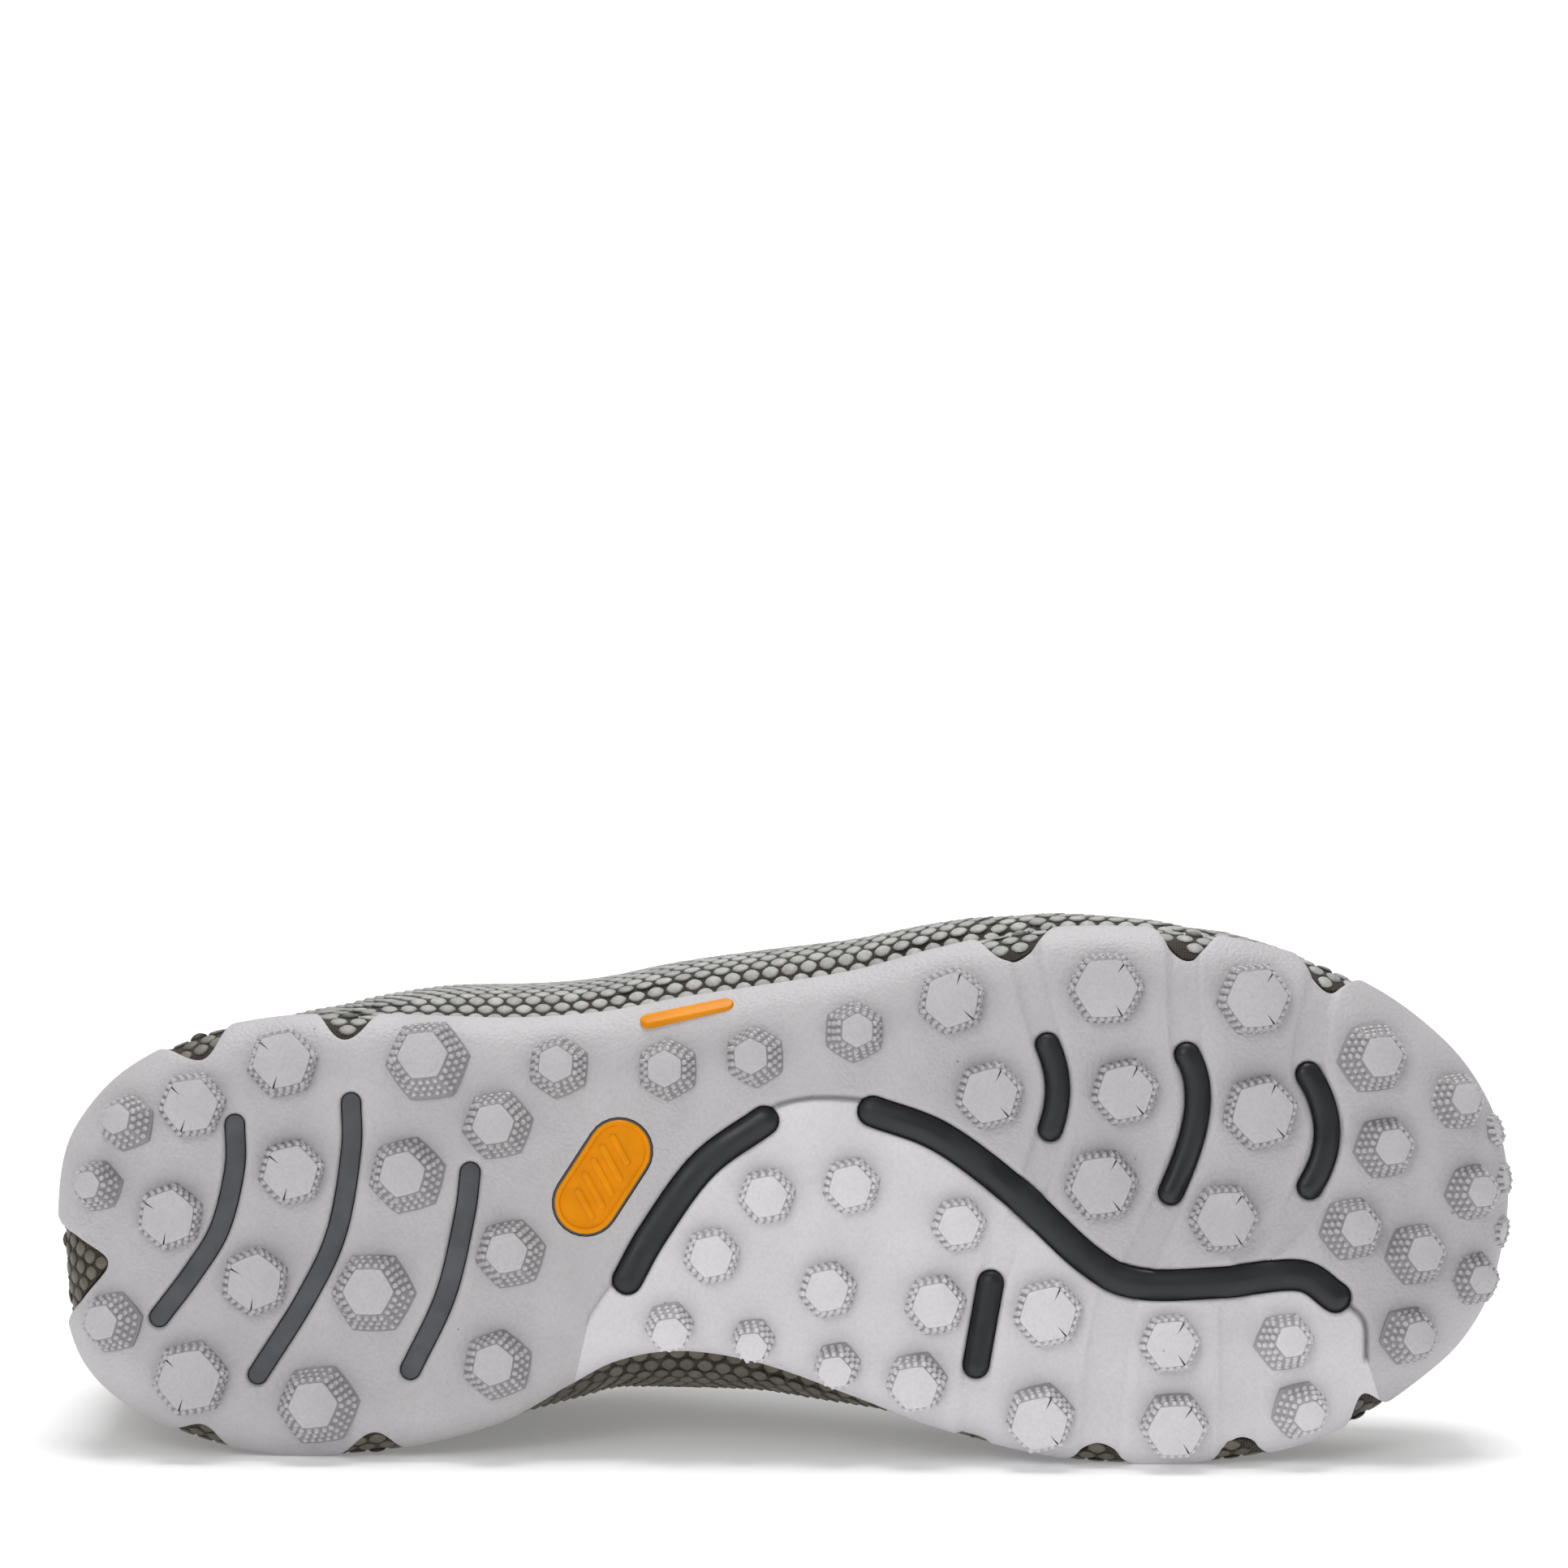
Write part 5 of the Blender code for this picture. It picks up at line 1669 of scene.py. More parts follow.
    def shade(self, mesh: Mesh) -> None:
        """Notes painted shade at each point of a rubber: halos round the lugs, darker channels and slot
        lips, and a dark line along the seam.

        Args:
            mesh: A rubber's standing mesh.
        """
        places = np.array([tuple(vertex.co) for vertex in mesh.vertices])[:, :2]
        shade = np.zeros(len(places))
        # Painted shade: a halo round each lug, shifted to its lateral side.
        for row in named_rows(LUGS, LUG_COLUMNS):
            centre = self.last.sized((row["along"], row["across"])) + (0.0, self.halo_shift)
            away = np.linalg.norm(places - centre, axis=1) - row["size"] * self.lug_radius * 0.9
            shade = np.maximum(shade, self.halo * np.clip(1 - away / self.halo_reach, 0.0, 1.0) ** 2)
        # Painted shadow along the seam's groove, only from the shank forward.
        away = distance_to(self.seam, places) - self.seam_gap
        after = eased((places[:, 0] / self.last.length - 0.46) / 0.04)
        shade = np.maximum(shade, self.seam_dark * after * np.clip(1 - away / self.seam_reach, 0.0, 1.0))
        # Painted shade in recesses, by how deep the relief is.
        shade = np.clip(shade + self.relief_dark * self.relief(places), 0.0, 1.0)
        mesh.attributes.new("shade", "FLOAT", "POINT").data.foreach_set("value", shade)

    def build(self) -> list:
        """Builds and dresses both rubbers.

        Returns:
            The two pieces.
        """
        pieces = []
        finishes, nodes = (GREY_RUBBER, WHITE_RUBBER), ("outsole_grey", "outsole_white")
        for skin, finish, node in zip(self.skins(), finishes, nodes):
            mesh = skin.mesh(node)
            self.shade(mesh)
            pieces.append(place_piece(node + "_body", mesh, [finish.material()], (node,)))
        return pieces


@dataclass
class Lugs:
    """The hexagonal lugs, their nicks and the rows of dots on their flanks."""

    sole: Outsole
    radius: float = 0.0075
    root: float = 0.0032
    rounding: float = 0.0002
    dot_pitch: float = 0.00155
    dot_radius: float = 0.0006
    dot_rise: float = 0.0007
    dot_sides: int = 8
    nick_length: float = 0.0030
    nick_width: float = 0.00045
    nick_depth: float = 0.0016
    front_nicks: tuple = (52.0, -62.0)
    heel_nicks: tuple = (128.0, -118.0)
    # Flanks and nicks take a darker rubber as painted shade.
    flank_shade_tone: float = 0.56
    slope: float = 0.42
    edge_slope: float = 2.6
    edge_share: float = 0.28
    edge_centre: float = 0.86
    around: int = 48

    def hexagon(self, radius: float, turn: float, angles: Array) -> Array:
        """A hexagon with eased corners, read at angles.

        Args:
            radius: Distance of its corners.
            turn: The turn of its first corner, in radians.
            angles: Where to read.

        Returns:
            The points.
        """
        third = math.pi / 3
        flat = radius * math.cos(third / 2) / np.cos((angles - turn) % third - third / 2)
        size = 0.8 * flat + 0.2 * radius * 0.95
        return np.stack([np.cos(angles), np.sin(angles)], axis=1) * size[:, None]

    def sizes(self, row: dict) -> tuple:
        """Base radius, face radius, the face's shift and height of a lug.

        Args:
            row: The lug's row.

        Returns:
            The four values.
        """
        base = row["size"] * self.radius - 0.5 * self.dot_rise
        face = base * row["face"].value
        bevelled = row["face"] in (Face.BEVELLED, Face.POINTED)
        toward = -1.0 if row["along"] < 0.5 else 1.0
        shift = np.array([toward, 0.35]) * (0.13 * base if bevelled else 0.0)
        share = self.edge_share if row["face"] is Face.EDGE else 1.0
        return base, face, shift, self.sole.last.lug_height * share

    def body(self, row: dict, shape: Shape, nicks: Shape) -> None:
        """Adds one lug's body, and its nicks to the cutter.

        Args:
            row: The lug's row.
            shape: The shape that it goes into.
            nicks: The cutter's shape.
        """
        base, face, shift, height = self.sizes(row)
        turn = math.radians(row["turn"])
        angles = turns_round(self.around) + turn
        place = self.place(row)
        foot, top = self.hexagon(base, turn, angles), self.hexagon(face, turn, angles) + shift
        out = unit(foot)
        soft = self.rounding
        levels = (
            (foot + out * 0.0004, -self.root),
            (foot + out * 0.0004, 0.0),
            (foot + (top - foot) * 0.08, 0.0005),
            (top - (top - foot) * 0.04, height - 1.6 * soft),
            (top - out * 0.25 * soft, height - 0.4 * soft),
            (top - out * soft, height),
        )
        rings = [self.moved(place, flat, level) for flat, level in levels]
        # Look 1, the flank material, darkens the flanks as painted shade.
        shape.rings(rings[:5], look=1)
        shape.rings(rings[4:])
        shape.add(rings[-1], [tuple(range(self.around))])
        shape.add(rings[0], [tuple(range(self.around))[::-1]])
        if row["face"] is not Face.BLOCK:
            return
        for nick in self.front_nicks if row["along"] > 0.5 else self.heel_nicks:
            at = turn + math.radians(nick)
            arm = np.array([math.cos(at), math.sin(at)])
            side = np.array([-arm[1], arm[0]])
            rim, tip = (face * 1.02) * arm, (face * 1.02 - self.nick_length) * arm
            plan = np.array([tip, rim + side * self.nick_width / 2, rim - side * self.nick_width / 2])
            # The nicks' cut faces take the flank material too, as painted shade in the slits.
            nicks.rings(
                [
                    self.moved(place, plan * 0.999, height - self.nick_depth),
                    self.moved(place, plan, height + 0.001),
                ],
                caps=True,
                look=1,
            )

    def place(self, row: dict) -> Matrix:
        """Where a lug lies.

        Args:
            row: The lug's row.

        Returns:
            Its frame.
        """
        x, y = self.sole.last.sized((row["along"], row["across"]))
        if row["face"] is Face.EDGE:
            away = np.array([x, y]) - self.sole.last.sized((self.edge_centre, -0.04))
            return self.sole.tread.frame(x, y, self.edge_slope, tuple(away / np.linalg.norm(away)))
        return self.sole.tread.frame(x, y, self.slope)

    @staticmethod
    def moved(place: Matrix, flat: Array, level: float) -> Array:
        """Flat points at a level, moved by a matrix.

        Args:
            place: The matrix.
            flat: Points in its plane.
            level: Their height over it.

        Returns:
            The moved points.
        """
        turn = np.array(place)
        points = np.column_stack([flat, np.full(len(flat), level)])
        return points @ turn[:3, :3].T + turn[:3, 3]

    def dots(self, row: dict, shape: Shape) -> None:
        """Adds the rows of dots on one lug's flank.

        Args:
            row: The lug's row.
            shape: The shape that it goes into.
        """
        base, face, shift, height = self.sizes(row)
        turn = math.radians(row["turn"])
        place = self.place(row)
        rotation = np.array(place)[:3, :3]
        fine = turns_round(180)
        foot, top = self.hexagon(base, turn, fine), self.hexagon(face, turn, fine) + shift
        for number, share in enumerate((0.2, 0.5, 0.8)):
            ring = foot + (top - foot) * share
            closed = np.vstack([ring, ring[:1]])
            run = np.concatenate([[0.0], np.cumsum(np.linalg.norm(np.diff(closed, axis=0), axis=1))])
            count = int(round(run[-1] / self.dot_pitch))
            where = (np.arange(count) + 0.5 * (number % 2)) / count * run[-1]
            index = np.searchsorted(run, where, side="right") - 1
            for k in index % len(ring):
                slope = np.append((top - foot)[k], height)
                side = np.append(closed[(k + 1) % len(ring)] - ring[k - 1], 0.0)
                out = np.cross(side, slope)
                out /= np.linalg.norm(out)
                centre = np.append(ring[k], share * height)
                self.dome(rotation @ centre + np.array(place)[:3, 3], rotation @ out, shape)

    def dome(self, centre: Array, out: Array, shape: Shape) -> None:
        """Adds one dot.

        Args:
            centre: Its foot.
            out: The way that it points.
            shape: The shape that it goes into.
        """
        side = np.cross(out, (0.3, 0.5, 0.81))
        side /= np.linalg.norm(side)
        other = np.cross(out, side)
        turns = turns_round(self.dot_sides)
        spokes = np.cos(turns)[:, None] * side + np.sin(turns)[:, None] * other
        low = centre - out * 0.0001 + spokes * self.dot_radius
        high = centre + out * self.dot_rise * 0.75 + spokes * self.dot_radius * 0.72
        tip = centre + out * self.dot_rise
        shape.add(np.vstack([low, high, tip]), cushion(self.dot_sides))

    def build(self) -> list:
        """Builds the lugs of both rubbers.

        Returns:
            The two pieces.
        """
        white = self.sole.white_region()
        pieces = []
        for name, finish, slot, wanted in (
            ("outsole_grey_lugs", GREY_RUBBER, "outsole_grey", False),
            ("outsole_white_lugs", WHITE_RUBBER, "outsole_white", True),
        ):
            bodies, nicks, dots = Shape(), Shape(), Shape()
            for row in named_rows(LUGS, LUG_COLUMNS):
                centre = self.sole.last.sized(((row["along"], row["across"]),))
                if bool(inside(white, centre)[0]) != wanted:
                    continue
                self.body(row, bodies, nicks)
                self.dots(row, dots)
            # The second look is the flank material, darkened as painted shade.
            looks = [bpy.data.materials[finish.name], replace(finish, **self.flank(finish)).material()]
            meshes = [bodies.mesh("bodies"), nicks.mesh("nicks")]
            for mesh in meshes:
                for look in looks:
                    mesh.materials.append(look)
            cut = cut_from(*meshes)
            pieces.append(place_piece(name, self.joined(cut, dots.mesh("dots", sharp=80.0)), looks))
        return pieces

    def flank(self, finish: RubberFinish) -> dict:
        """Name and colour of the rubber between the dots, darkened as painted shade."""
        darker = tuple(value * self.flank_shade_tone for value in finish.colour)
        return {"name": finish.name + "_flank", "colour": darker}

    @staticmethod
    def joined(first: Mesh, second: Mesh) -> Mesh:
        """Two meshes as one.

        Args:
            first: One mesh.
            second: The other.

        Returns:
            The joined mesh.
        """
        bm = bmesh.new()
        bm.from_mesh(first)
        bm.from_mesh(second)
        mesh = bpy.data.meshes.new("lugs")
        bm.to_mesh(mesh)
        bm.free()
        mesh.shade_smooth()
        mesh.set_sharp_from_angle(angle=math.radians(40.0))
        return mesh


@dataclass
class Badge:
    """A plain capsule-shaped inlay with ribs, in its pocket in the sole."""

    last: Last
    length: float = 0.0266
    width: float = 0.014
    turn: float = math.radians(123.0)
    along: float = 0.375
    across: float = -0.073
    border: float = 0.0006
    rim: float = 0.0008
    depth: float = 0.0012

    def frame(self, tread: Tread) -> Matrix:
        """Where the badge lies."""
        x, y = self.last.sized((self.along, self.across))
        return tread.frame(x, y) @ Matrix.Rotation(-self.turn, 4, "Z")

    def ring(self, inset: float) -> Array:
        """The badge's outline, drawn in.

        Args:
            inset: How far it is drawn in.

        Returns:
            The outline's points.
        """
        arm = (self.length - self.width) / 2
        line = np.array([[-arm, 0.0], [-arm / 3, 0.0], [arm / 3, 0.0], [arm, 0.0]])
        return stadium_ring(line, self.width / 2 - inset, 12)

    def build(self, tread: Tread) -> Piece:
        """Builds and dresses the badge.

        Args:
            tread: The underside that it lies in.

        Returns:
            The piece.
        """
        place = self.frame(tread)
        inner = self.border + self.rim
        shape = Shape()
        border = (
            (0.0001, -self.depth),
            (0.0001, -0.0003),
            (0.0003, 0.0),
            (self.border, 0.0),
            (self.border, -0.0006),
        )
        face = (
            (self.border, -0.0006),
            (self.border, 0.0001),
            (self.border + 0.0002, 0.0003),
            (inner, 0.0003),
            (inner + 0.0002, 0.0001),
            (inner + 0.0003, -0.0003),
        )
        shape.rings([Lugs.moved(place, self.ring(inset), level) for inset, level in border], look=1)
        start = len(self.ring(0.0))
        shape.rings([Lugs.moved(place, self.ring(inset), level) for inset, level in face])
        floor = Lugs.moved(place, self.ring(inner + 0.0003), -0.0003)
        shape.add(floor, [tuple(range(start))])
        under = Lugs.moved(place, self.ring(0.0001), -self.depth)
        shape.add(under, [tuple(range(start))[::-1]], 1)
        self.ribs(place, shape)
        looks = [ORANGE_INLAY.material(), DARK_INLAY.material()]
        return place_piece("badge_inlay", shape.mesh("badge"), looks, ("badge",))

    def ribs(self, place: Matrix, shape: Shape) -> None:
        """Adds plain slanted ribs on the badge's floor.

        Args:
            place: The badge's frame.
            shape: The shape that it goes into.
        """
        lean = math.radians(28.0)
        for at in (-0.0066, -0.0033, 0.0, 0.0033, 0.0066):
            reach = 0.0037 if abs(at) < 0.005 else 0.0029
            run = np.array([math.sin(lean), math.cos(lean)]) * reach
            line = np.array([at, 0.0]) + np.linspace(-1.0, 1.0, 5)[:, None] * run
            levels = ((0.0, -0.0004), (0.0, -0.00005), (0.00022, 0.0002), (0.0004, 0.00025))
            rings = [
                Lugs.moved(place, stadium_ring(line, 0.0007 - inset, 5), level) for inset, level in levels
            ]
            shape.rings(rings, caps=True)


@dataclass
class SideTab:
    """A plain orange bar on the lateral edge of the sole."""

    last: Last
    length: float = 0.0196
    width: float = 0.0034
    rise: float = 0.0009
    along: float = 0.433
    across: float = -0.373
    steepest: float = 3.0

    def build(self, sole: Outsole) -> Piece:
        """Builds and dresses the bar.

        Args:
            sole: The outsole that carries it.

        Returns:
            The piece.
        """
        arm = self.length / 2 - self.width / 2
        start, end = (
            self.last.sized((self.along + sign * 0.033, self.across - sign * 0.0165)) for sign in (-1, 1)
        )
        lean = math.atan2(-(end - start)[1], (end - start)[0])
        x, y = self.last.sized((self.along, self.across))
        place = sole.tread.frame(x, y, self.steepest) @ Matrix.Rotation(lean, 4, "Z")
        line = np.linspace((-arm, 0.0), (arm, 0.0), 9)
        levels = ((0.0, -0.0012), (0.0, 0.0004), (0.0003, 0.0008), (0.0008, self.rise))
        shape, half = Shape(), self.width / 2
        rings = [Lugs.moved(place, stadium_ring(line, half - inset, 8), level) for inset, level in levels]
        shape.rings(rings, caps=True)
        return place_piece("side_tab", shape.mesh("tab"), [bpy.data.materials["orange_inlay"]])


@dataclass
class Midsole:
    """The foam between rubber and insole, with bars of it in the rubber's slots."""

    last: Last
    sole: Outsole
    inset: float = 0.0035
    side_gap: float = 0.0002
    glossy_sink: float = 0.0001
    glossy_crown: float = 0.0013
    open_sink: float = 0.0006
    open_crown: float = 0.0003
    root: float = 0.0012

    def bar(self, name: str, shape: Shape) -> None:
        """Adds the foam that fills one slot.

        Args:
            name: The slot's name.
            shape: The shape that it goes into.
        """
        width, glossy, line = self.sole.slots[name]
        half = width / 2 - self.side_gap
        sink, crown = (self.glossy_sink, self.glossy_crown) if glossy else (self.open_sink, self.open_crown)
        floor = self.sole.rubber + self.root
        levels = [(1.0, floor), (1.0, sink + crown)]
        shares = (0.97, 0.9, 0.75, 0.5, 0.25, 0.01)
        levels += [(share, sink + crown * (1 - math.sqrt(1 - share**2))) for share in shares]
        rings = []
        for share, depth in levels:
            ring = stadium_ring(line, half * share)
            height = self.last.ground(ring[:, 0]) + self.last.lug_height + depth
            rings.append(np.column_stack([ring, height]))
        shape.rings(rings, look=0 if glossy else 1, caps=True)

    def build(self) -> Piece:
        """Builds and dresses the foam.

        Returns:
            The piece.
        """
        girth = Girth(self.last, np.linspace(0.0, 1.0, 91))
        zero = np.zeros(girth.count)
        radius = np.full(girth.count, self.last.curl - self.inset)
        low = self.sole.rubber + 0.0003
        rings = [girth.floor_ring(share, low) for share in (0.999, 0.5)]
        rings += [girth.curl_ring(radius - 0.0002, zero + math.radians(turn)) for turn in (0, 25, 50, 70)]
        rings.append(girth.dome_ring(zero, self.inset, 0.0023))
        rise = girth.rise_to(0.0, 0.0023)
        rings += [girth.dome_ring(share * rise, self.inset, 0.0023) for share in (0.5, 1.0)]
        edge = rings[-1]
        for share in (0.5, 0.999):
            place = edge[:, :2] + (girth.spine - edge[:, :2]) * share
            height = self.last.ground(place[:, 0]) + self.last.stack(place[:, 0])
            rings.append(np.column_stack([place, height]))
        shape = Shape()
        shape.rings(rings, look=1, caps=True)
        for name in self.sole.slots:
            self.bar(name, shape)
        looks = [GLOSSY_FOAM.material(), OPEN_FOAM.material()]
        piece = place_piece("midsole_foam", shape.mesh("foam", weld=1e-7), looks, ("midsole",))
        return piece


@dataclass
class Insole:
    """The loose insole on the foam."""

    last: Last
    thickness: float = 0.004
    inset: float = 0.0036
    lower: float = 0.0023

    def build(self) -> Piece:
        """Builds and dresses the insole.

        Returns:
            The piece.
        """
        girth = Girth(self.last, np.linspace(0.0, 1.0, 121))
        shape = Shape()
        rings = []
        for over, shares in ((0.0003, (0.999, 0.5)), (self.thickness, (0.5, 0.999))):
            edge = girth.dome_ring(girth.rise_to(over, self.lower), self.inset, self.lower)
            inner = []
            for share in shares:
                place = edge[:, :2] + (girth.spine - edge[:, :2]) * share
                height = self.last.ground(place[:, 0]) + self.last.stack(place[:, 0]) + over
                inner.append(np.column_stack([place, height]))
            rings += inner + [edge] if over < 0.001 else [edge] + inner
        shape.rings(rings, caps=True)
        looks = [INSOLE_CLOTH.material()]
        piece = place_piece("insole_sheet", shape.mesh("insole"), looks, ("insole",))
        return piece


@dataclass
class Upper:
    """The scale-mesh upper with its knit collar band and black lining."""

    last: Last
    setback: float = 0.0009
    wall: float = 0.002
    pad: float = 0.004
    band: float = 0.009
    start_gap: float = 0.0003
    rows: int = 34
    band_rows: int = 6
    cell_rows: float = 0.0029
    cell_pitch: float = 0.0040
    cell_rise: float = 0.00034
    cell_share: float = 0.95
    cell_tall: float = 1.13
    cell_corners: int = 12
    stay_reach: float = 0.0135

    def __post_init__(self) -> None:
        """Works out the outer and inner profiles."""
        self.girth = Girth(self.last, np.linspace(0.0, 1.0, 181))
        self.outer = self.profiles(0.0)
        self.inner = self.profiles(self.wall)
        self.outer_run, self.outer_end, self.outer_cut = self.measure(self.outer)
        self.inner_run, self.inner_end, self.inner_cut = self.measure(self.inner)

    def profiles(self, behind: float) -> Array:
        """Points up the wall at every station, from the rubber's rim to the ridge.

        Args:
            behind: How far the surface is behind the outer one.

        Returns:
            An array of rows, stations and coordinates.
        """
        girth, last = self.girth, self.last
        quarter = math.pi / 2
        start = np.minimum(girth.rim + self.start_gap / last.curl, quarter - 0.02)
        radius = np.full(girth.count, last.curl - self.setback - behind)
        shares = np.linspace(0, 1, 8)[:-1]
        rings = [girth.curl_ring(radius, start + (quarter - start) * share) for share in shares]
        square = last.upper_value("square", girth.spine[:, 0])
        for turn in np.linspace(0.0, quarter, 70):
            rise = np.clip(np.sin(turn), 0.0, 1.0) ** (2 / square)
            inset = np.full(girth.count, self.setback + behind)
            ring = girth.dome_ring(rise, inset, behind)
            if behind > 0:
                back = 1 / (1 + np.exp((girth.spine[:, 0] / last.length - 0.38) * 60))
                high = 1 / (1 + np.exp(-(ring[:, 2] / last.collar - 0.58) * 24))
                ring = girth.dome_ring(rise, inset + self.pad * back * high, behind)
            rings.append(ring)
        return np.array(rings)

    def measure(self, profile: Array) -> tuple:
        """Finds where each station's profile ends.

        Args:
            profile: The profile's points.

        Returns:
            The run up each profile, its end, and whether the collar or throat cuts it.
        """
        steps = np.linalg.norm(np.diff(profile, axis=0), axis=2)
        run = np.vstack([np.zeros((1, steps.shape[1])), np.cumsum(steps, axis=0)])
        x, y, z = profile[..., 0], profile[..., 1], profile[..., 2]
        collar = self.last.topline(x) - z
        throat = np.abs(y - self.last.ridge(x)) - self.last.throat_half(x)
        over_foot = (z > THROAT_LEVEL * self.last.instep) & (x > THROAT_START * self.last.length)
        throat = np.where(over_foot, throat, 1.0)
        room = np.minimum(collar, throat)
        end, cut = run[-1].copy(), np.zeros(run.shape[1], dtype=bool)
        for k in range(run.shape[1]):
            past = np.nonzero(room[:, k] < 0)[0]
            if len(past) and past[0] > 0:
                n = past[0]
                share = room[n - 1, k] / (room[n - 1, k] - room[n, k])
                end[k] = run[n - 1, k] + (run[n, k] - run[n - 1, k]) * share
                cut[k] = True
        return run, end, cut

    @staticmethod
    def read(profile: Array, run: Array, where: Array) -> Array:
        """Points at a run up each station's profile.

        Args:
            profile: The profile's points.
            run: Runs up it.
            where: The run wanted at each station.

        Returns:
            One point a station.
        """
        ring = np.empty((profile.shape[1], 3))
        for k in range(profile.shape[1]):
            for axis in range(3):
                ring[k, axis] = np.interp(where[k], run[:, k], profile[:, k, axis])
        return ring

    def grid(self, profile: Array, run: Array, end: Array) -> Array:
        """Rows of points up to the profile's end, the last of them in the collar band.

        Args:
            profile: The profile's points.
            run: Runs up it.
            end: Where it ends.

        Returns:
            The rows of points.
        """
        below, above = np.linspace(0.0, 1.0, self.rows + 1), np.linspace(0.0, 1.0, self.band_rows + 1)[1:]
        foot = np.maximum(end - self.band, end * 0.5)
        rows = [self.read(profile, run, foot * share) for share in below]
        rows += [self.read(profile, run, foot + (end - foot) * share) for share in above]
        return np.array(rows)

    def shell(self) -> Shape:
        """The whole shell: cloth outside, knit band and rolled edge, lining inside.

        Returns:
            The shape.
        """
        outer = self.grid(self.outer, self.outer_run, self.outer_end)
        inner = self.grid(self.inner, self.inner_run, self.inner_end)
        middle = 0.5 * (outer[-1] + inner[-1])
        up = outer[-1] - outer[-3] + inner[-1] - inner[-3]
        up /= np.maximum(np.linalg.norm(up, axis=1), 1e-9)[:, None]
        arm = outer[-1] - middle
        size = np.linalg.norm(arm, axis=1)[:, None]
        turns = np.linspace(0.0, math.pi, 9)
        roll = [middle + arm * math.cos(turn) + up * size * math.sin(turn) for turn in turns]
        shape = Shape()
        count = self.girth.count
        cut = self.outer_cut & self.inner_cut
        collar = self.girth.spine[:, 0] < COLLAR_SHARE * self.last.length

        def skin(rows: list, look_of: Callable, wanted: Array | None) -> None:
            """Adds faces over rings of points.

            Args:
                rows: Rings of points.
                look_of: Gives a face's material by row and station.
                wanted: Stations to cover, or none for all.
            """
            faces: dict = {}
            for row in range(len(rows) - 1):
                for k in range(count):
                    n = (k + 1) % count
                    if wanted is not None and not (wanted[k] and wanted[n]):
                        continue
                    look = look_of(row, k)
                    quad = (row * count + k, row * count + n, (row + 1) * count + n, (row + 1) * count + k)
                    faces.setdefault(look, []).append(quad)
            start = None
            for look, quads in faces.items():
                if start is None:
                    start = shape.add(np.vstack(rows), quads, look)
                else:
                    shape.faces += [tuple(start + k for k in quad) for quad in quads]
                    shape.looks += [look] * len(quads)

        banded = collar & cut
        skin(list(outer), lambda row, k: 1 if row >= self.rows and banded[k] else 0, None)
        skin(list(inner), lambda row, k: 2, None)
        skin([outer[0], inner[0]], lambda row, k: 0, None)
        skin(roll, lambda row, k: 1 if banded[k] else 0, cut)
        return shape

    def cells(self) -> tuple:
        """The raised cells of the mesh.

        Returns:
            Their shape and, for each point, the cell's own tone.
        """
        girth = self.girth
        shape, tones = Shape(), []
        dice = np.random.default_rng(SEED)
        steps = np.linalg.norm(np.diff(np.vstack([girth.base, girth.base[:1]]), axis=0), axis=1)
        around = np.concatenate([[0.0], np.cumsum(steps)])
        count = 4 * int(round(around[-1] / self.cell_pitch / 4))
        pitch = around[-1] / count
        index = np.arange(girth.count + 1)
        origin = self.outer_run[7]
        lowest = -int(origin.max() / self.cell_rows) - 1
        rows = int((self.outer_end - origin).max() / self.cell_rows)
        at_collar = girth.spine[:, 0] < COLLAR_SHARE * self.last.length
        ends = self.outer_end - np.where(at_collar, self.band, -0.3 * self.cell_rows)
        tangent = np.roll(girth.base, -1, axis=0) - girth.base
        for row in range(lowest, rows):
            up = origin + (row + 0.35) * self.cell_rows
            ring = self.read(self.outer, self.outer_run, up)
            higher = self.read(self.outer, self.outer_run, up + 0.0006)
            spans = np.linalg.norm((np.roll(ring, -1, axis=0) - ring)[:, :2], axis=1)
            for cell in range(count):
                for wide in (1, 2):
                    at = (cell + 0.5 * (row % 2)) * pitch if wide == 1 else (cell + (row % 2)) * pitch
                    k = float(np.interp(at % around[-1], around, index))
                    low = min(int(k), girth.count - 1)
                    scale = spans[low] / steps[low]
                    if (wide == 1) != (scale > 0.62) or (wide == 2 and cell % 2):
                        continue
                    too_low, reach = up[low] < 0.1 * self.cell_rows, up[low] + 0.5 * self.cell_rows
                    if too_low or reach > ends[low] or scale < 0.12:
                        continue
                    share = k - low
                    centre = ring[low] * (1 - share) + ring[(low + 1) % girth.count] * share
                    if self.under_stay(centre):
                        continue
                    half = 0.5 * pitch * wide * scale * self.cell_share
                    self.cell(shape, centre, np.append(tangent[low], 0.0), higher[low] - ring[low], half)
                    tones += [dice.random()] * (2 * self.cell_corners + 1)
        return shape, tones

    def under_stay(self, centre: Array) -> bool:
        """Whether a place on the upper is under the eyestay.

        Args:
            centre: The place.

        Returns:
            Whether it is.
        """
        x, y = centre[0], centre[1]
        if not 0.405 * self.last.length < x < 0.677 * self.last.length:
            return False
        reach = abs(y - float(self.last.ridge(x)))
        half = max(float(self.last.throat_half(x)), 0.0)
        return reach < half + self.stay_reach and centre[2] > 0.4 * self.last.instep

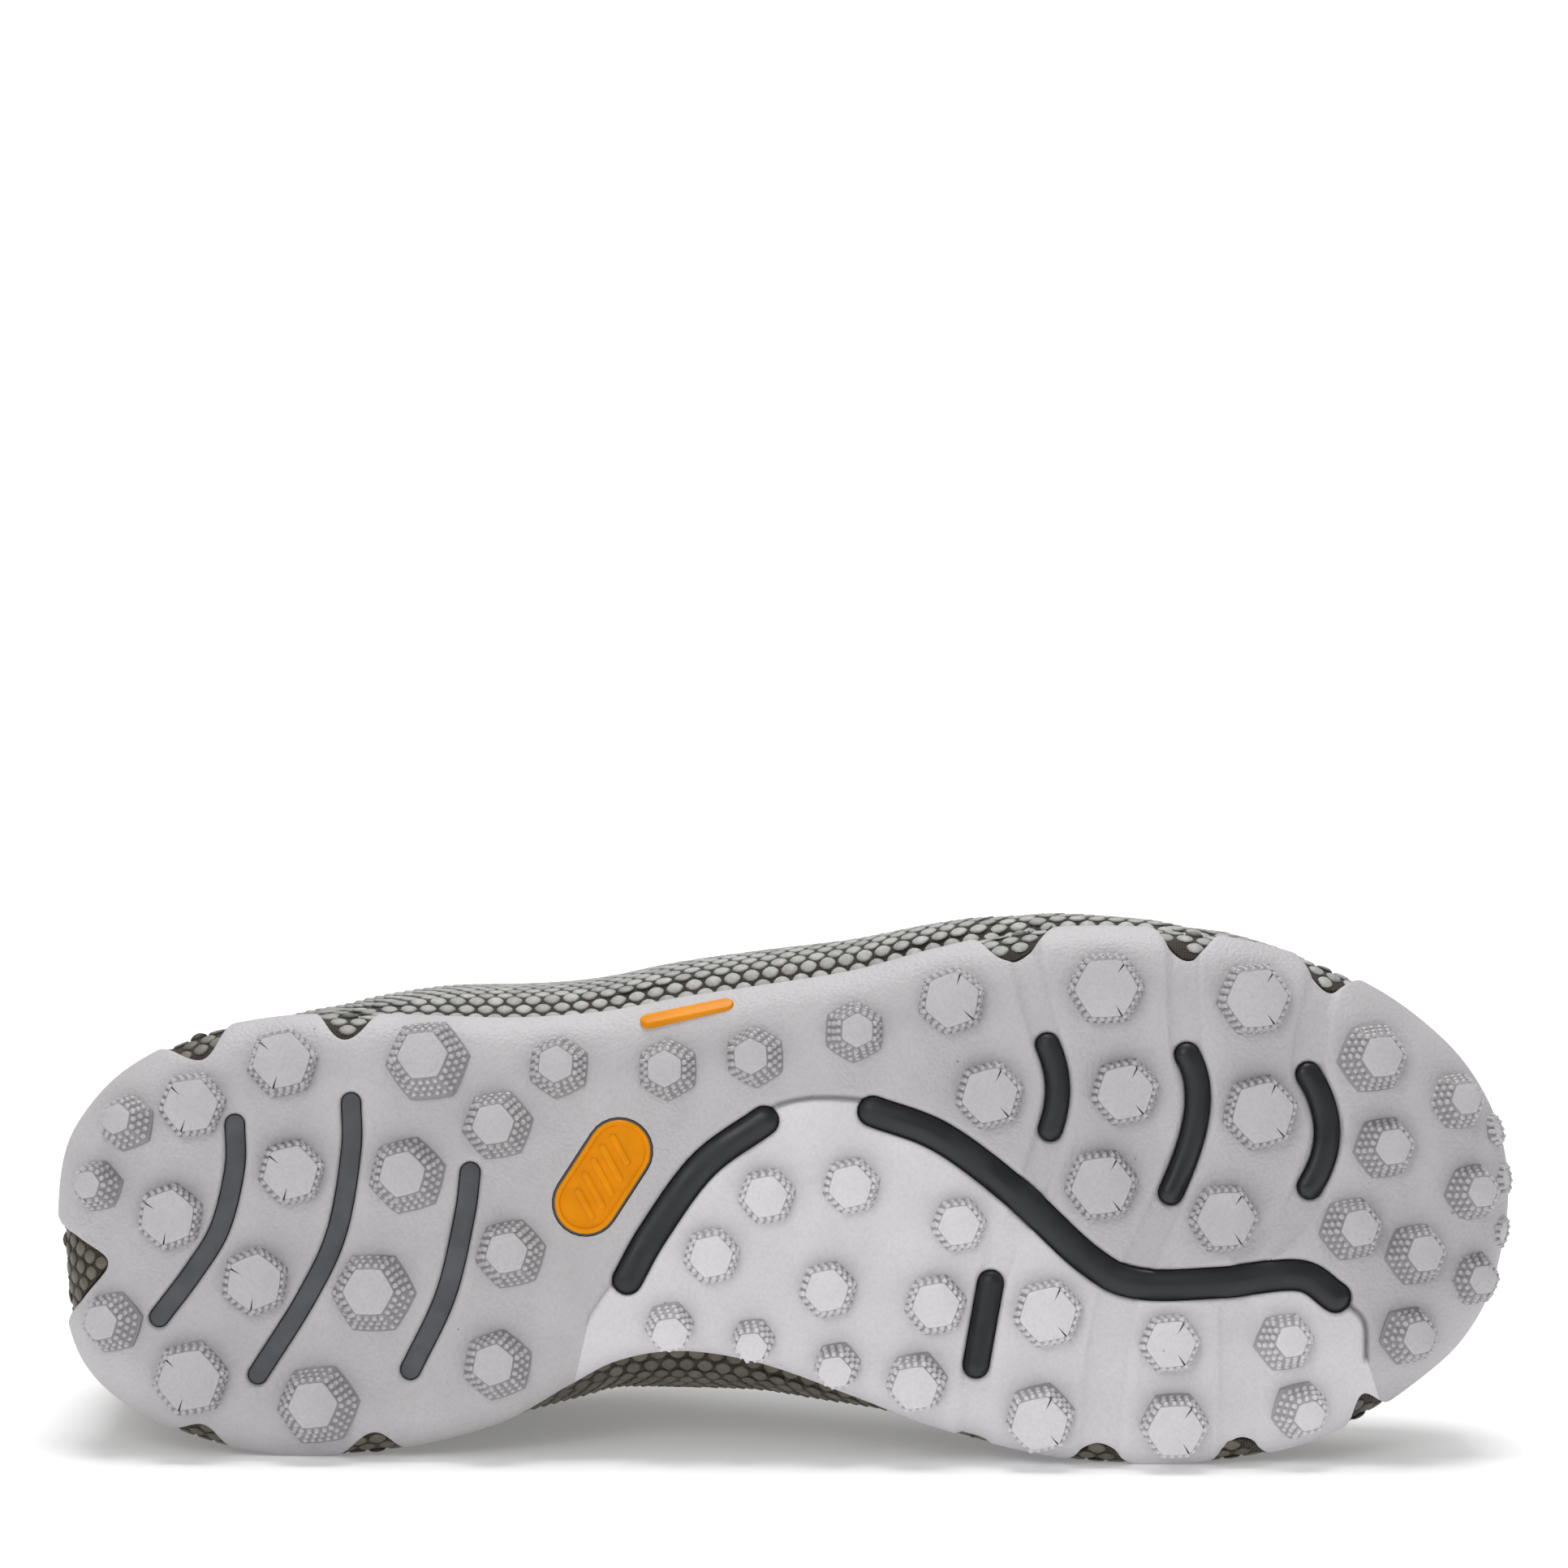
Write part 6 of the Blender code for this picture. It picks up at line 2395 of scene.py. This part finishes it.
    def cell(self, shape: Shape, centre: Array, along: Array, rise: Array, half: float) -> None:
        """Adds one cushioned cell.

        Args:
            shape: The shape that it goes into.
            centre: Its middle.
            along: The way of its width.
            rise: The way up the wall.
            half: Half of its width.
        """
        along = along / max(np.linalg.norm(along), 1e-9)
        rise = rise - along * float(rise @ along)
        rise = rise / max(np.linalg.norm(rise), 1e-9)
        out = np.cross(along, rise)
        tall = 0.5 * self.cell_rows * self.cell_tall
        turns = turns_round(self.cell_corners)
        wide = np.cos(turns)
        plan = np.stack([wide, np.sign(np.sin(turns).round(9)) * (1 - np.abs(wide) ** 1.8) ** 0.62], axis=1)
        rim = centre + np.outer(plan[:, 0] * half, along) + np.outer(plan[:, 1] * tall, rise) - out * 0.0001
        crown = centre + np.outer(plan[:, 0] * half * 0.8, along) + np.outer(plan[:, 1] * tall * 0.74, rise)
        crown = crown + out * self.cell_rise * 0.85
        tip = centre + out * self.cell_rise
        shape.add(np.vstack([rim, crown, tip]), cushion(self.cell_corners))

    def build(self) -> list:
        """Builds and dresses the upper.

        Returns:
            The two pieces.
        """
        looks = [BASE_CLOTH.material(), COLLAR_KNIT.material(), LINING_CLOTH.material()]
        mesh = self.shell().mesh("shell", weld=1e-5, closed=True)
        shell = place_piece("upper_shell", mesh, looks, ("upper",))
        shape, tones = self.cells()
        mesh = bpy.data.meshes.new("cells")
        mesh.from_pydata(pressed(np.vstack(shape.points)).tolist(), [], shape.faces)
        mesh.shade_smooth()
        mesh.attributes.new("cell", "FLOAT", "POINT").data.foreach_set("value", tones)
        cells = place_piece("upper_cells", mesh, [SCALE_CELLS.material()])
        return [shell, cells]

    def over(self, x: float, across: float, lift: float) -> Array:
        """Gives a point over the upper near its ridge.

        Args:
            x: Length from the heel.
            across: Distance from the ridge, positive to the medial side.
            lift: Height over the upper's surface.

        Returns:
            The point.
        """
        girth = self.girth
        lines = girth.spine[: girth.half + 1, 0]
        first = int(np.argmax(lines > self.last.heel_fan + 1e-6))
        k = float(np.interp(x, lines[first : girth.half], np.arange(first, girth.half)))
        low = min(int(k), girth.half - 1)
        points = []
        for station in (low, low + 1):
            number = station if across < 0 else (girth.count - station) % girth.count
            share = 1 - min(abs(across) / girth.reach[number], 0.98)
            ring = self.outer[7:, number]
            ridge = ring[-1, :2]
            start = np.linalg.norm(ring[0, :2] - ridge)
            away = np.linalg.norm(ring[:, :2] - ridge, axis=1) / start
            n = int(np.clip(np.searchsorted(-away, -(1 - share)), 1, len(ring) - 1))
            part = np.clip((away[n - 1] - (1 - share)) / max(away[n - 1] - away[n], 1e-9), 0.0, 1.0)
            point = ring[n - 1] + (ring[n] - ring[n - 1]) * part
            slope = ring[n] - ring[n - 1]
            side = np.array([1.0, 0.0, 0.0])
            normal = np.cross(side, slope)
            normal = normal if normal[2] > 0 else -normal
            points.append(point + normal / max(np.linalg.norm(normal), 1e-9) * lift)
        return points[0] + (points[1] - points[0]) * (k - low)


@dataclass
class Closure:
    """Tongue, eyestay, eyelets and laces over the instep."""

    last: Last
    upper: Upper
    stay_lift: float = 0.0004
    stay: float = 0.0012
    stay_width: float = 0.013
    stay_across: tuple = (0.0, 0.0, 0.05, 0.35, 0.65, 0.95, 1.0, 1.0)
    stay_up: tuple = (0.0, 0.7, 1.0, 1.0, 1.0, 1.0, 0.7, 0.0)
    tongue: float = 0.004
    tongue_half: float = 0.024
    lace: float = 0.0014
    rows: int = 6
    eyelets: tuple = (0.620, 0.440)
    stay_span: tuple = (0.418, 0.668)
    tongue_span: tuple = (0.398, 0.655)

    def throat_path(self) -> tuple:
        """Places along the throat's edge, from one side's top to the other's, and outward steps.

        Returns:
            The places and the steps.
        """
        x = np.linspace(self.stay_span[0], 0.620, 26) * self.last.length
        half = self.last.throat_half(x) + 0.0012
        turns = np.linspace(0.0, math.pi, 15)[1:-1]
        round_front = [(x[-1] + half[-1] * math.sin(turn), -half[-1] * math.cos(turn)) for turn in turns]
        lateral = np.stack([x, -half], axis=1)
        medial = np.stack([x, half], axis=1)[::-1]
        path = np.vstack([lateral, np.array(round_front), medial])
        along = ways(path)
        return path, np.stack([along[:, 1], -along[:, 0]], axis=1)

    def build_stay(self) -> Piece:
        """Builds and dresses the band round the throat.

        Returns:
            The piece.
        """
        path, out = self.throat_path()
        grid = []
        for away, level in zip(self.stay_across, self.stay_up):
            places = path + out * away * self.stay_width
            lift = self.stay_lift + level * self.stay
            grid.append([self.upper.over(x, across, lift) for x, across in places])
        shape = Shape()
        shape.rings([np.array(row) for row in grid] + [np.array(grid[0])], closed=False)
        for end in (0, -1):
            shape.add(np.array([row[end] for row in grid]), [tuple(range(len(grid)))])
        looks = [STAY_CLOTH.material()]
        return place_piece("eyestay_band", shape.mesh("stay"), looks, ("eyestay",))

    def eyelet(self, row: int, side: int, lift: float) -> Array:
        """A point at an eyelet.

        Args:
            row: Its row from the toe.
            side: Its side's sign.
            lift: Height over the upper.

        Returns:
            The point.
        """
        along = self.eyelets[0] + (self.eyelets[1] - self.eyelets[0]) * row / (self.rows - 1)
        x = along * self.last.length
        across = float(self.last.throat_half(np.array(x))) + 0.0012 + 0.0058
        return self.upper.over(x, side * across, lift)

    def build_eyelets(self) -> Piece:
        """Builds and dresses the rings round the eyelets.

        Returns:
            The piece.
        """
        shape = Shape()
        for row in range(self.rows):
            for side in (-1, 1):
                centre = self.eyelet(row, side, self.stay_lift + self.stay)
                out = self.eyelet(row, side, 0.01) - self.eyelet(row, side, 0.0)
                out /= np.linalg.norm(out)
                first = np.cross(out, (1.0, 0.0, 0.0))
                first /= np.linalg.norm(first)
                second = np.cross(out, first)
                turns = turns_round(20)
                spokes = np.cos(turns)[:, None] * first + np.sin(turns)[:, None] * second
                rings = []
                for a in np.linspace(0.0, 2 * math.pi, 9):
                    ring = centre + spokes * (0.0024 + 0.0005 * math.cos(a))
                    rings.append(ring + out * (0.0001 + 0.0004 * math.sin(a)))
                shape.rings(rings)
        return place_piece("eyelet_rings", shape.mesh("eyelets"), [EYELET_METAL.material()])

    def tongue_grid(self, down: float) -> Array:
        """A grid across the tongue, down below the upper's outer surface.

        Args:
            down: How far below.

        Returns:
            The grid's points.
        """
        rows = []
        for along in np.linspace(*self.tongue_span, 30):
            x = along * self.last.length
            places = self.tongue_half * np.linspace(-1, 1, 25)
            rows.append([self.upper.over(x, place, -down) for place in places])
        return np.array(rows)

    def build_tongue(self) -> Piece:
        """Builds and dresses the padded tongue.

        Returns:
            The piece.
        """
        top, bottom = self.tongue_grid(0.0034), self.tongue_grid(0.0034 + self.tongue)
        rows, columns = top.shape[:2]
        across = np.abs(np.linspace(-1, 1, columns))[None, :]
        along = np.abs(np.linspace(-1, 1, rows))[:, None]
        fill = np.sqrt(np.clip(1 - across**8, 0, 1)) * np.sqrt(np.clip(1 - along**16, 0, 1))
        middle = 0.5 * (top + bottom)
        shape = Shape()
        for grid in (top, bottom):
            shaped = middle + (grid - middle) * fill[..., None]
            shape.rings([row for row in shaped], closed=False)
        mesh = shape.mesh("tongue", weld=1e-5)
        piece = place_piece("tongue_pad", mesh, [TONGUE_CLOTH.material()], ("tongue",))
        return piece

    def build_laces(self) -> Piece:
        """Builds and dresses the crossed laces.

        Returns:
            The piece.
        """
        shape = Shape()
        over = self.stay_lift + self.stay + self.lace
        for row in range(self.rows - 1):
            for side in (-1, 1):
                start = [self.eyelet(row, side, lift) for lift in (-0.001, 0.001, over + 0.0004)]
                end = [self.eyelet(row + 1, -side, lift) for lift in (over + 0.0004, 0.0012, -0.0012)]
                cross = 0.0007 * side
                middle = []
                for share in (0.25, 0.5, 0.75):
                    flat = start[-1] + (end[0] - start[-1]) * share
                    middle.append(flat + np.array([0.0, 0.0, cross + 0.0032]))
                self.cord(shape, np.array(start + middle + end))
        ends = [self.eyelet(0, side, lift) for side, lift in ((-1, 0.0), (-1, over), (1, over), (1, 0.0))]
        middle = 0.5 * (ends[1] + ends[2]) + np.array([0.002, 0.0, 0.0005])
        bar = [ends[0], ends[1], middle, ends[2], ends[3]]
        self.cord(shape, np.array(bar))
        looks = [LACE_BRAID.material()]
        return place_piece("lace_runs", shape.mesh("laces", sharp=60.0), looks, ("laces",))

    def cord(self, shape: Shape, points: Array) -> None:
        """Adds a round cord through points.

        Args:
            shape: The shape that it goes into.
            points: Points on its route.
        """
        line = catmull_rom(points, 6)
        along = ways(line)
        first = unit(np.cross(along, (0.9, 0.1, 0.42)))
        second = np.cross(along, first)
        turns = turns_round(12)
        rings = []
        for centre, u, v in zip(line, first, second):
            rings.append(centre + (np.cos(turns)[:, None] * u + np.sin(turns)[:, None] * v) * self.lace)
        shape.rings(rings, caps=True)

    def build(self) -> list:
        """Builds the closure's pieces."""
        return [self.build_stay(), self.build_eyelets(), self.build_tongue(), self.build_laces()]


@dataclass(frozen=True)
class Studio:
    """Pale floor, soft light and the camera at the photograph's angle."""

    distance: float = 2.5
    elevation: float = math.radians(9.97)
    pitch_down: float = math.radians(7.998)
    roll: float = math.radians(0.532)
    lens: float = 281.1
    aim: tuple = (-0.00112, -0.057, 0.055)
    clip: float = 0.01
    floor_sink: float = 0.0001
    floor_rings: tuple = (0.3, 1.2, 12.0)
    floor: FloorFinish = FloorFinish("studio_floor", (0.95, 0.95, 0.955), 0.2, 0.6, (0.28, 0.9))
    sky: float = 0.35
    lights: tuple = (
        ("top_light", (0.0, 0.15, 2.2), (0.0, 0.0, 0.0), 1.0, 29.0),
        ("front_light", (-0.7, -2.0, 1.3), (0.0, 0.0, 0.05), 1.0, 11.5),
        ("back_light", (0.0, 1.5, 1.9), (0.0, 0.0, 0.0), 1.2, 10.0),
    )

    def build_floor(self) -> None:
        """Builds the round floor, which glows a little so that it stays pale all round."""
        turns = turns_round(96)
        ring = np.stack([np.cos(turns), np.sin(turns)], axis=1)
        sink = np.full(len(ring), -self.floor_sink)
        rows = [np.column_stack([ring * reach, sink]) for reach in self.floor_rings]
        shape = Shape()
        shape.rings(rows)
        shape.add(rows[0], [tuple(range(len(ring)))])
        mesh = shape.mesh("floor")
        mesh.materials.append(self.floor.material())
        floor = bpy.data.objects.new("studio_floor", mesh)
        bpy.context.scene.collection.objects.link(floor)

    def light(self, name: str, place: tuple, aim: tuple, size: float, power: float) -> None:
        """Adds a soft square light.

        Args:
            name: Its name.
            place: Where it hangs.
            aim: What it faces.
            size: Its side.
            power: Its power in watts.
        """
        lamp = bpy.data.lights.new(name, "AREA")
        lamp.size = size
        lamp.energy = power
        item = bpy.data.objects.new(name, lamp)
        item.location = place
        item.rotation_euler = (Vector(aim) - Vector(place)).to_track_quat("-Z", "Y").to_euler()
        bpy.context.scene.collection.objects.link(item)

    def build_camera(self) -> None:
        """Builds the camera."""
        lens = bpy.data.cameras.new("camera")
        lens.lens = self.lens
        lens.clip_start = self.clip
        item = bpy.data.objects.new("camera", lens)
        up = math.sin(self.elevation)
        back = math.cos(self.elevation)
        item.location = Vector(self.aim) + Vector((0.0, -back, up)) * self.distance
        look = Matrix.Rotation(math.pi / 2 - self.pitch_down, 4, "X") @ Matrix.Rotation(self.roll, 4, "Z")
        item.rotation_euler = look.to_euler()
        bpy.context.scene.collection.objects.link(item)
        bpy.context.scene.camera = item

    def build(self) -> None:
        """Builds floor, lights, sky and camera."""
        self.build_floor()
        for row in self.lights:
            self.light(*row)
        world = bpy.data.worlds.new("studio_sky")
        world.use_nodes = True
        board = Board(world.node_tree)
        seen = board.add("ShaderNodeLightPath").outputs["Is Camera Ray"]
        strength = board.math("MULTIPLY_ADD", seen, 1.0 - self.sky, self.sky)
        values = {"Color": (1.0, 1.0, 1.0, 1.0), "Strength": strength}
        board.fill(world.node_tree.nodes["Background"], values)
        bpy.context.scene.world = world
        bpy.context.scene.view_settings.view_transform = "Standard"
        self.build_camera()


def corners(box: tuple) -> list:
    """A box's corners as plain lists."""
    return [[round(float(value), 6) for value in corner] for corner in box]


def main() -> None:
    """Builds the shoe's looks round the frame, piece by piece."""
    logging.basicConfig(level=logging.INFO, format="%(message)s", stream=sys.stdout)
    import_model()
    last = Last()
    sole = Outsole(last)
    upper = Upper(last)
    stages = (
        ("outsole", sole.build),
        ("lugs", Lugs(sole).build),
        ("badge", lambda: Badge(last).build(sole.tread)),
        ("side tab", lambda: SideTab(last).build(sole)),
        ("midsole", Midsole(last, sole).build),
        ("insole", Insole(last).build),
        ("upper", upper.build),
        ("closure", Closure(last, upper).build),
        ("studio", Studio().build),
    )
    for name, build in stages:
        made = build()
        pieces = made if isinstance(made, list) else [made]
        for piece in filter(None, pieces):
            LOG.info("%s: %s, %d faces", name, piece.name, len(piece.data.polygons))
    bpy.context.view_layer.update()


if __name__ == "__main__":
    main()
